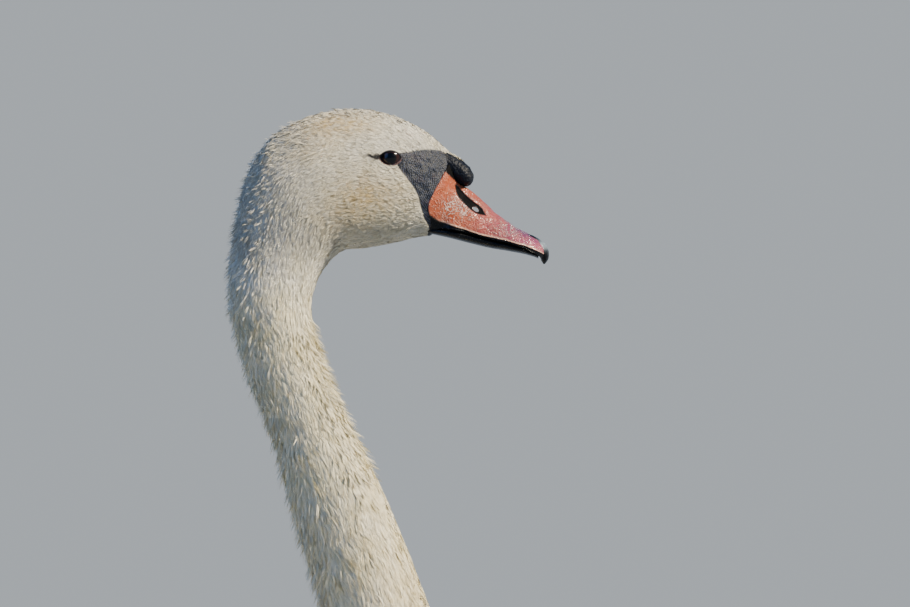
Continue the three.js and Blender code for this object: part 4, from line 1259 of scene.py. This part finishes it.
def soft_coverts(surface, name):
    """Small rounded coverts over the front of the wing and along its shoulder, longer towards the back."""
    first = -0.035
    groups = []
    for count, last, v_range in ((620, 0.165, (0.10, 0.985)), (330, 0.19, (-0.12, 0.32))):
        u, v = scatter(surface, int(count * SHARE), (first, last), v_range, rows=60, columns=64)
        back = step(first, 0.2, u)
        length = varied((20.0, 44.0), back, 0.9, 1.1)
        width = widened(varied((11.0, 22.0), back, 0.9, 1.1))
        high = 0.9 + RANDOM.normal(0, 0.15, len(u)) - step(0.012, first, u) + step(0.34, 0.25, v)
        turn = RANDOM.normal(0, 0.06, len(u))
        groups.append(fan(surface, u, v, length, width, turn, np.full(len(u), -2.6), high, blades=13))
    coat(f"wing_small_coverts_{name}", groups, FEATHER, wing_unwrap)


def wing_feathers(side, name):
    """Primaries, secondaries, tertials, ranks of coverts and the scapulars of one folded wing."""
    surface = wing_surface(side)
    # Primaries, secondaries and tertials.
    flight = [
        wing_row(surface, (0.41, 0.45), (0.42, 0.94), 9, (305, 235), (28, 24), (-4, -1.2), 4.0, rows=20),
        wing_row(surface, (0.33, 0.29), (0.30, 0.97), 14, (205, 140), (37, 29), (-3.4, 0.0), 1.0, rows=20),
        wing_row(surface, (0.34, 0.31), (0.03, 0.32), 6, (225, 200), (52, 44), (-2.6, 1.3), 0.9, 0.0,
                 rows=20),
    ]
    # Two ranks of coverts, the longer one over the flight feathers.
    coverts = [
        wing_row(surface, (0.235, 0.195), (0.15, 0.975), 14, (114, 84), (34, 28), (-2.8, -0.6), rows=18),
        wing_row(surface, (0.170, 0.140), (0.17, 0.975), 16, (78, 58), (29, 23), (-2.8, -0.3), rows=16),
    ]
    scapulars = []
    for rank, start in enumerate(np.linspace(0.40, 0.12, 7)):
        across = (-0.02 - 0.03 * (rank % 2), 0.33 - 0.012 * rank)
        scapulars.append(wing_row(surface, (start, start - 0.03), across, 8, (98 - 4 * rank, 74 - 3 * rank),
                                  (34 - rank, 28 - rank), (-2.4, 1.7), 0.8, -0.02))
    soft_coverts(surface, name)
    for part, groups in (("flight", flight), ("coverts", coverts), ("scapulars", scapulars)):
        coat(f"wing_{part}_{name}", groups, VANE, wing_unwrap)


def tail_feathers():
    """Eleven pairs of tail feathers, fanned from the rump, the middle pair longest and uppermost, and as
    many under-tail coverts that reach as far."""
    count = 22
    q = np.linspace(-1, 1, count)
    q = q[np.argsort(-np.abs(q))]
    root = np.full(count, ALONG["tail root"] - 42.0)
    length = 129 - 52 * np.abs(q) ** 1.6
    width = np.full(count, 27.0)
    height = 2.2 * (1 - np.abs(q)) + 0.4
    groups = []
    for across, turn, longer, low, high, rows in (
        (q * 1.15, q * 0.10, 1.0, height - 3.0, height, 18),
        (math.pi - q * 0.9, -q * 0.08, 1.12, height - 3.6, height - 1.6, 14),
    ):
        made = vanes(body_point, root, across, length * longer, width, turn, low, high, 2.0, rows,
                     camber=1.1, tilt=0.0)
        groups.append((root, across, body_point, made, None))
    coat("tail_feathers", groups, VANE, stretch_unwrap(0, BODY_END))


def thigh_coat():
    """Short soft feathers down both thighs, smaller towards the ankle."""
    groups = []
    for side in (1, -1):
        surface = thigh_surface(side)
        u, v = scatter(surface, int(1300 * SHARE), (0.05, 0.98), (0, TAU), rows=60, columns=48)
        length = varied((22.0, 12.0), u, 0.8, 1.2)
        high = RANDOM.normal(0, 0.3, len(u)) - 2.0 * step(0.8, 1.0, u)
        turn = RANDOM.normal(0, 0.12, len(u))
        groups.append(fan(surface, u, v, length, mix(14.0, 7.0, u), turn, np.full(len(u), -3.0), high, 7))
    coat("thigh_feathers", groups, FEATHER, stretch_unwrap(0, 1))


# ---- Bill, knob and eyes -----------------------------------------------------------------------------
def bill_section(phi, exponent):
    """A bill's section, as up and wide: from the ridge down a superellipse to the cutting edge, then in
    over the palate."""
    turn = np.abs(phi)
    theta = np.clip(turn / CUTTING_EDGE, 0, 1) * math.pi / 2
    inner = np.clip((turn - CUTTING_EDGE) / (math.pi - CUTTING_EDGE), 0, 1) * math.pi / 2
    palate = turn > CUTTING_EDGE
    wide = np.where(palate, np.cos(inner) ** 0.8, np.sin(theta) ** (2 / exponent))
    up = np.where(palate, -1 + 0.3 * np.sin(inner), -1 + 2 * np.cos(theta) ** (2 / exponent))
    return up, np.sign(phi) * wide


def bill_point(t, phi, grow=0.0):
    """The upper bill: the head's own section at its base, turning into a ridged arch that flattens to the
    tip."""
    t, phi, grow = np.broadcast_arrays(np.asarray(t, float), phi, grow)
    exponent = mix(1.5, 2.25, step(15, BILL_END * 0.8, t))
    own = section(BILL(t), grow, *bill_section(phi, exponent))
    head = body_point(-t, phi / CUTTING_EDGE * PALATE_EDGE, 0.35 + grow)
    return mix(head, own, step(0, 13, t)[..., None])


def make_upper_bill():
    """Orange sheath with black edges; its back edge dips under the skin, and an open slot joins the
    nostrils. The attribute dull is 1 where all is black and 2 inside the nostril's mark and under the
    knob."""
    hidden = 8.0
    t = (-hidden + (BILL_END + hidden - 1.0) * np.linspace(0, 1, 210) ** 0.92)[:, None]
    phi = np.linspace(-math.pi, math.pi, 190, endpoint=False)[None, :]
    points = bill_point(t, phi)
    x, z = points[..., 0], points[..., 2]
    side = np.sign(points[..., 1])
    outer = np.abs(phi) < CUTTING_EDGE
    over_edge = z - ORANGE_EDGE_AT(x)
    behind = step(0.4, -0.7, orange_horn(x, z)) * step(12, 4, t)
    mark = stroke(x, z, NOSTRIL_MARK)
    groove = 1.1 * step(-0.6, 1.6, mark) * (np.abs(points[..., 1]) > 2) * outer
    # More wrinkling, and more painted glint lines, round two spots on the bill's side.
    crinkle_and_glint = 0.3 + spot(x, z, 47, 866, 15, 9) + 0.7 * spot(x, z, 84, 852, 16, 8)
    swell = (0.25 * waves(points, 9, 61) + 0.07 * crinkle_and_glint * waves(points, 2.4, 62)) * step(-6, 4, t)
    lip = (0.28 * bell(over_edge, 0, 0.7) - 0.35 * step(0.2, -0.9, over_edge)) * outer
    points = bill_point(t, phi, swell + lip - 1.3 * behind - 0.9 * step(BILL_END - 12, BILL_END, t))
    points[..., 1] -= side * groove
    black = np.maximum(step(-0.15, 0.3, mark), step(0.25, -0.25, over_edge))
    black = np.maximum(black, step(0.35, -0.25, orange_horn(x, z)) * step(12, 6, t))
    under_knob = step(-0.3, 0.3, z - KNOB_EDGE_AT(x)) * step(58, 57, x)
    black = np.maximum(np.where(outer, black, 1.0), under_knob)
    dull = np.maximum(2 * np.maximum(step(0.0, 0.5, mark), under_knob), black)
    attributes = {"black": black, "dull": np.where(outer, dull, 1.0), "crinkle_and_glint": crinkle_and_glint,
                  "forward": np.broadcast_to(t / BILL_END, x.shape),
                  "bruise": spot(x, z, 92, 850, 14, 7) * step(2.1, 0.9, np.abs(phi)),
                  "rim": 0.8 * bell(over_edge, 0.45, 0.4) * outer * step(30, 36, x)}
    attributes = {key: with_ends(values) for key, values in attributes.items()}
    flat, faces = closed_loft(points)
    piece = build("upper_bill_sheath", flat, faces, BILL_SHEATH, attributes)
    cut_nostril(piece)
    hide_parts("upper_bill")


def cut_nostril(piece):
    """Cuts the slot that runs through both nostrils, a long oval tube from side to side. Then faces whose
    corners are all dull take the black horn, and those that are dull by 2 the nostril's own lining."""
    slope = math.radians(NOSTRIL_HOLE["slope"])
    along = NOSTRIL_HOLE["along"] * np.cos(around(28))
    over = NOSTRIL_HOLE["high"] * np.sin(around(28))
    x = NOSTRIL_HOLE["x"] + along * math.cos(slope) + over * math.sin(slope)
    z = NOSTRIL_HOLE["z"] - along * math.sin(slope) + over * math.cos(slope)
    flat, faces = closed_loft(np.stack(np.broadcast_arrays(x, 24 * column(-1, 1, 9), z), -1))
    lining = {"black": np.ones(len(flat)), "dull": np.full(len(flat), 2.0)}
    tool = build("nostril_cut", flat, faces, BILL_SHEATH, lining)
    cut = piece.modifiers.new("nostril", "BOOLEAN")
    cut.operation = "DIFFERENCE"
    cut.solver = "EXACT"
    cut.object = tool
    graph = bpy.context.evaluated_depsgraph_get()
    made = bpy.data.meshes.new_from_object(piece.evaluated_get(graph), preserve_all_data_layers=True,
                                           depsgraph=graph)
    piece.modifiers.clear()
    piece.data = made
    bpy.data.objects.remove(tool)
    made.materials.clear()
    for material in (BILL_SHEATH, BLACK_HORN, NOSTRIL_SKIN):
        made.materials.append(material)
    dull = np.empty(len(made.vertices))
    made.attributes["dull"].data.foreach_get("value", dull)
    starts = np.empty(len(made.polygons), dtype=np.int32)
    made.polygons.foreach_get("loop_start", starts)
    corners = np.empty(len(made.loops), dtype=np.int32)
    made.loops.foreach_get("vertex_index", corners)
    lowest = np.minimum.reduceat(dull[corners], starts)
    made.polygons.foreach_set("material_index", (lowest > 0.97).astype(np.int32) + (lowest > 1.9))


def make_lower_bill():
    """The lower bill under the mouth line, with fine upright ridges along its edge."""
    t = column(-3, BILL_KNOTS[len(LOWER_BILL_DEPTHS) - 1], 230)
    a = around(90)
    row = BILL(t)
    deep = LOWER_BILL(t)[..., 0] / 2
    up = np.cos(a)
    ridges = 0.16 * np.sin(row[..., 2] * 3.4) * bell(up, 0.35, 0.3) * step(20, 34, t)
    wide = np.sign(np.sin(a)) * np.abs(np.sin(a)) ** 0.7
    y = (row[..., 4] - 0.9 + ridges - 4.5 * step(12, -3, t)) * wide
    z = row[..., 3] + 0.4 - deep + deep * np.sign(up) * np.abs(up) ** 0.75
    flat, faces = closed_loft(np.stack(np.broadcast_arrays(row[..., 2], y, z), -1))
    piece = build("lower_bill_sheath", flat, faces, BLACK_HORN, {"wear_and_glint": np.zeros(len(flat))})
    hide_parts("lower_bill")


def make_nail():
    """The horny nail: a loft that hooks over the bill's tip, with a pale bluish glint painted on its top.
    """
    a = around(64)
    smooth = section(NAIL(column(0, NAIL_KNOTS[-1], 60)), 0.0, np.cos(a), np.sin(a))
    grain = 0.08 * waves(smooth, 3, 71)
    flat, faces = closed_loft(smooth + grain[..., None] * [1, 0, 1])
    # Painted highlight: a pale bluish glint on the top of the nail.
    wear_and_glint = 0.85 * spot(flat[:, 0], flat[:, 2], 106, 841, 5, 3.5)
    piece = build("bill_nail_horn", flat, faces, BLACK_HORN, {"wear_and_glint": wear_and_glint})
    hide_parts("bill_nail")


def knob_point(t, a, grow=0.0):
    """The knob's surface: round sections between its top and bottom line."""
    t, a, grow = np.broadcast_arrays(np.asarray(t, float), a, grow)
    return section(KNOB(t), grow, np.cos(a), np.sin(a))


def make_knob():
    """The knob: a swelling that rises out of the bare skin and hangs over the bill, lumpy and finely
    beaded."""
    t = (KNOB_KNOTS[-1] * np.linspace(0, 1, 110) ** 0.9)[:, None]
    a = around(120)
    smooth = knob_point(t, a)
    lumps = 0.24 * waves(smooth, 4.5, 81) + 0.12 * waves(smooth, 1.8, 82)
    flat, faces = closed_loft(knob_point(t, a, lumps))
    piece = build("bill_knob_skin", flat, faces, KNOB_SKIN, {"wear_and_glint": np.zeros(len(flat))})
    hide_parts("bill_knob")


def make_eye(side, name):
    """An eyeball: a sphere whose clear front bulges by a bell over the iris; it tucks in behind the
    lids."""
    u, a = column(0.01, math.pi - 0.01, 64), around(96)
    outwards_of_lid = EYE_RADIUS * np.sin(u) - lid_radius(a)
    behind_lids = np.maximum(step(0.1, 1.2, outwards_of_lid), step(1.2, 1.5, u))
    radius = EYE_RADIUS + 0.35 * bell(u, 0, 0.5) - 2.4 * behind_lids
    x = 0.3 + radius * np.sin(u) * np.cos(a)
    y = side * (EYE_Y + radius * np.cos(u))
    z = EYE_Z + radius * np.sin(u) * np.sin(a)
    iris = np.broadcast_to(np.sin(np.minimum(u, math.pi / 2)), x.shape)
    flat, faces = closed_loft(np.stack([x, y, z], -1))
    piece = build(f"eyeball_{name}", flat, faces, EYE, {"iris": with_ends(iris, 0.0, 1.0)})
    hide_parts(f"eye_{name}")


def make_skin():
    """One skin for head, neck, trunk, tail, wings and thighs, with the eyelids on it."""
    points, bare = skin_grid()
    trunk = closed_loft(points)
    parts = [trunk]
    none = np.zeros(len(trunk[0]))
    marks = [(with_ends(bare, 1.0, 0.0), none, none)]
    for side in (1, -1):
        own, quads, *lid_marks = eyelids(side)
        parts.append((own, [quads]))
        marks.append(lid_marks)
    for side in (1, -1):
        thigh = closed_loft(thigh_surface(side)(column(0, 1, 26), around(48), -3.0))
        parts.append(thigh)
        marks.append((np.zeros(len(thigh[0])),) * 3)
    flat, faces = joined(parts)
    bare, lid, brow = (np.concatenate(values) for values in zip(*marks))
    attributes = markings(flat) | {"bare": bare, "lid": lid, "brow": brow, "ring": lore_ring(flat)}
    piece = build("skin", flat, faces, SKIN, attributes)
    sides = ("left", "right")
    wings = [f"{part}_{side}" for part in ("wing", "primaries", "thigh") for side in sides]
    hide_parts("head", "neck_upper", "neck_middle", "neck_lower", "trunk", "tail", *wings)


# ---- Camera, light and floor -------------------------------------------------------------------------
FRAME_WIDTH = 0.628  # of what the camera sees at the bird, in metres
AIM_AHEAD, AIM_UP = 44.2, -100.0  # from the eye to the middle of the view
LENS, SENSOR = 300.0, 36.0
FLOOR_RADIUS, FLOOR_SIDES = 14.0, 64


def make_camera():
    """A long lens, level, square to the bird's right side, framing head and neck."""
    data = bpy.data.cameras.new("camera")
    data.lens = LENS
    data.sensor_width = SENSOR
    data.clip_start = 0.1
    data.clip_end = 200
    camera = placed("camera", data)
    far = FRAME_WIDTH * LENS / SENSOR
    camera.location = ((EYE_MIDDLE[0] + AIM_AHEAD) * MM, -far, (EYE_Z + AIM_UP) * MM)
    camera.rotation_euler = (math.pi / 2, 0, 0)
    bpy.context.scene.camera = camera


def make_sun(name, towards, strength, tint, softness):
    """A far, soft lamp that shines from the way it is given."""
    data = bpy.data.lights.new(name, "SUN")
    data.energy = strength
    data.color = colour(tint)[:3]
    data.angle = math.radians(softness)
    lamp = placed(name, data)
    lamp.rotation_mode = "QUATERNION"
    lamp.rotation_quaternion = Vector(towards).to_track_quat("Z", "Y")


def make_stage():
    """Pale floor, a sky that is pale ahead and blue behind and overhead, a warm key light from ahead, and
    cool light from the rest of the sky."""
    mesh = bpy.data.meshes.new("floor")
    rim = FLOOR_RADIUS * np.exp(1j * around(FLOOR_SIDES)[0])
    places = np.column_stack([rim.real, rim.imag, np.zeros(FLOOR_SIDES)])
    mesh.from_pydata(places, [], [range(FLOOR_SIDES)])
    material, tree, shader = start_material("matt floor paint", Roughness=0.85, Specular_IOR_Level=0.2)
    tone = blended(tree, noise(tree, 900, 2), colour("#767F8B"), colour("#7F8791"))
    tree.links.new(tone, shader.inputs["Base Color"])
    mesh.materials.append(material)
    floor = placed("floor", mesh)
    world = bpy.data.worlds.new("sky")
    world.use_nodes = True
    tree = world.node_tree
    way = add(tree, "SeparateXYZ", {0: add(tree, "TexCoord").outputs["Generated"]}).outputs
    ahead = maths(tree, "ADD", way[0], maths(tree, "MULTIPLY", way[1], 0.7))
    wall = blended(tree, ramp(tree, ahead, -1.0, 0.3), colour("#6482AC"), colour("#C3CAD0"))
    sky = blended(tree, ramp(tree, way[2], 0.04, 0.34), wall, colour("#4A76A8"))
    tree.links.new(sky, tree.nodes["Background"].inputs[0])
    tree.nodes["Background"].inputs[1].default_value = 0.8
    bpy.context.scene.world = world
    make_sun("key", (0.68, -0.34, 0.65), 8.6, "#FFF3DC", 5)
    make_sun("fill", (-0.30, 0.82, 0.48), 0.8, "#C4D8FF", 30)
    make_sun("sky light", (-0.85, -0.35, 0.40), 0.9, "#6E9CF0", 50)


make_camera()
make_stage()
make_skin()
for name, side in (("left", 1), ("right", -1)):
    make_eye(side, name)
    make_leg(side, name)
    wing_feathers(side, name)
make_upper_bill()
make_lower_bill()
make_nail()
make_knob()
face_coat()
# Each row: name, stretch of the body, tufts, their length and width at both ends, locks, their length and
# loose barbs.
for row in (
    ("head_feathers", 78.0, ALONG["throat"], 9400, (5.2, 7.4), (0.44, 0.52), 2600, 5.4, 900),
    ("nape_feathers", ALONG["throat"] - 8, 256.0, 8600, (7.5, 10.0), (0.52, 0.62), 3300, 7.2, 1200),
    ("neck_feathers", 246.0, 404.0, 9400, (9.5, 12.5), (0.60, 0.80), 3500, 8.4, 700),
    ("neck_root_feathers", 392.0, ALONG["neck root"] + 24, 6600, (12.0, 18.0), (0.90, 1.7), 700, 18.0),
):
    stream_coat(*row)
# Each row: name, stretch of the body, feathers, their length and width at both ends of it.
for row in (
    ("breast_feathers", ALONG["neck root"] - 14, ALONG["keel"] + 20, 4400, (20, 28), (11, 17)),
    ("flank_feathers", ALONG["keel"], ALONG["loin"] - 30, 4900, (28, 34), (17, 21)),
    ("rump_feathers", ALONG["loin"] - 50, ALONG["tail root"] + 16, 3900, (32, 30), (20, 18)),
):
    trunk_coat(*row)
thigh_coat()
tail_feathers()
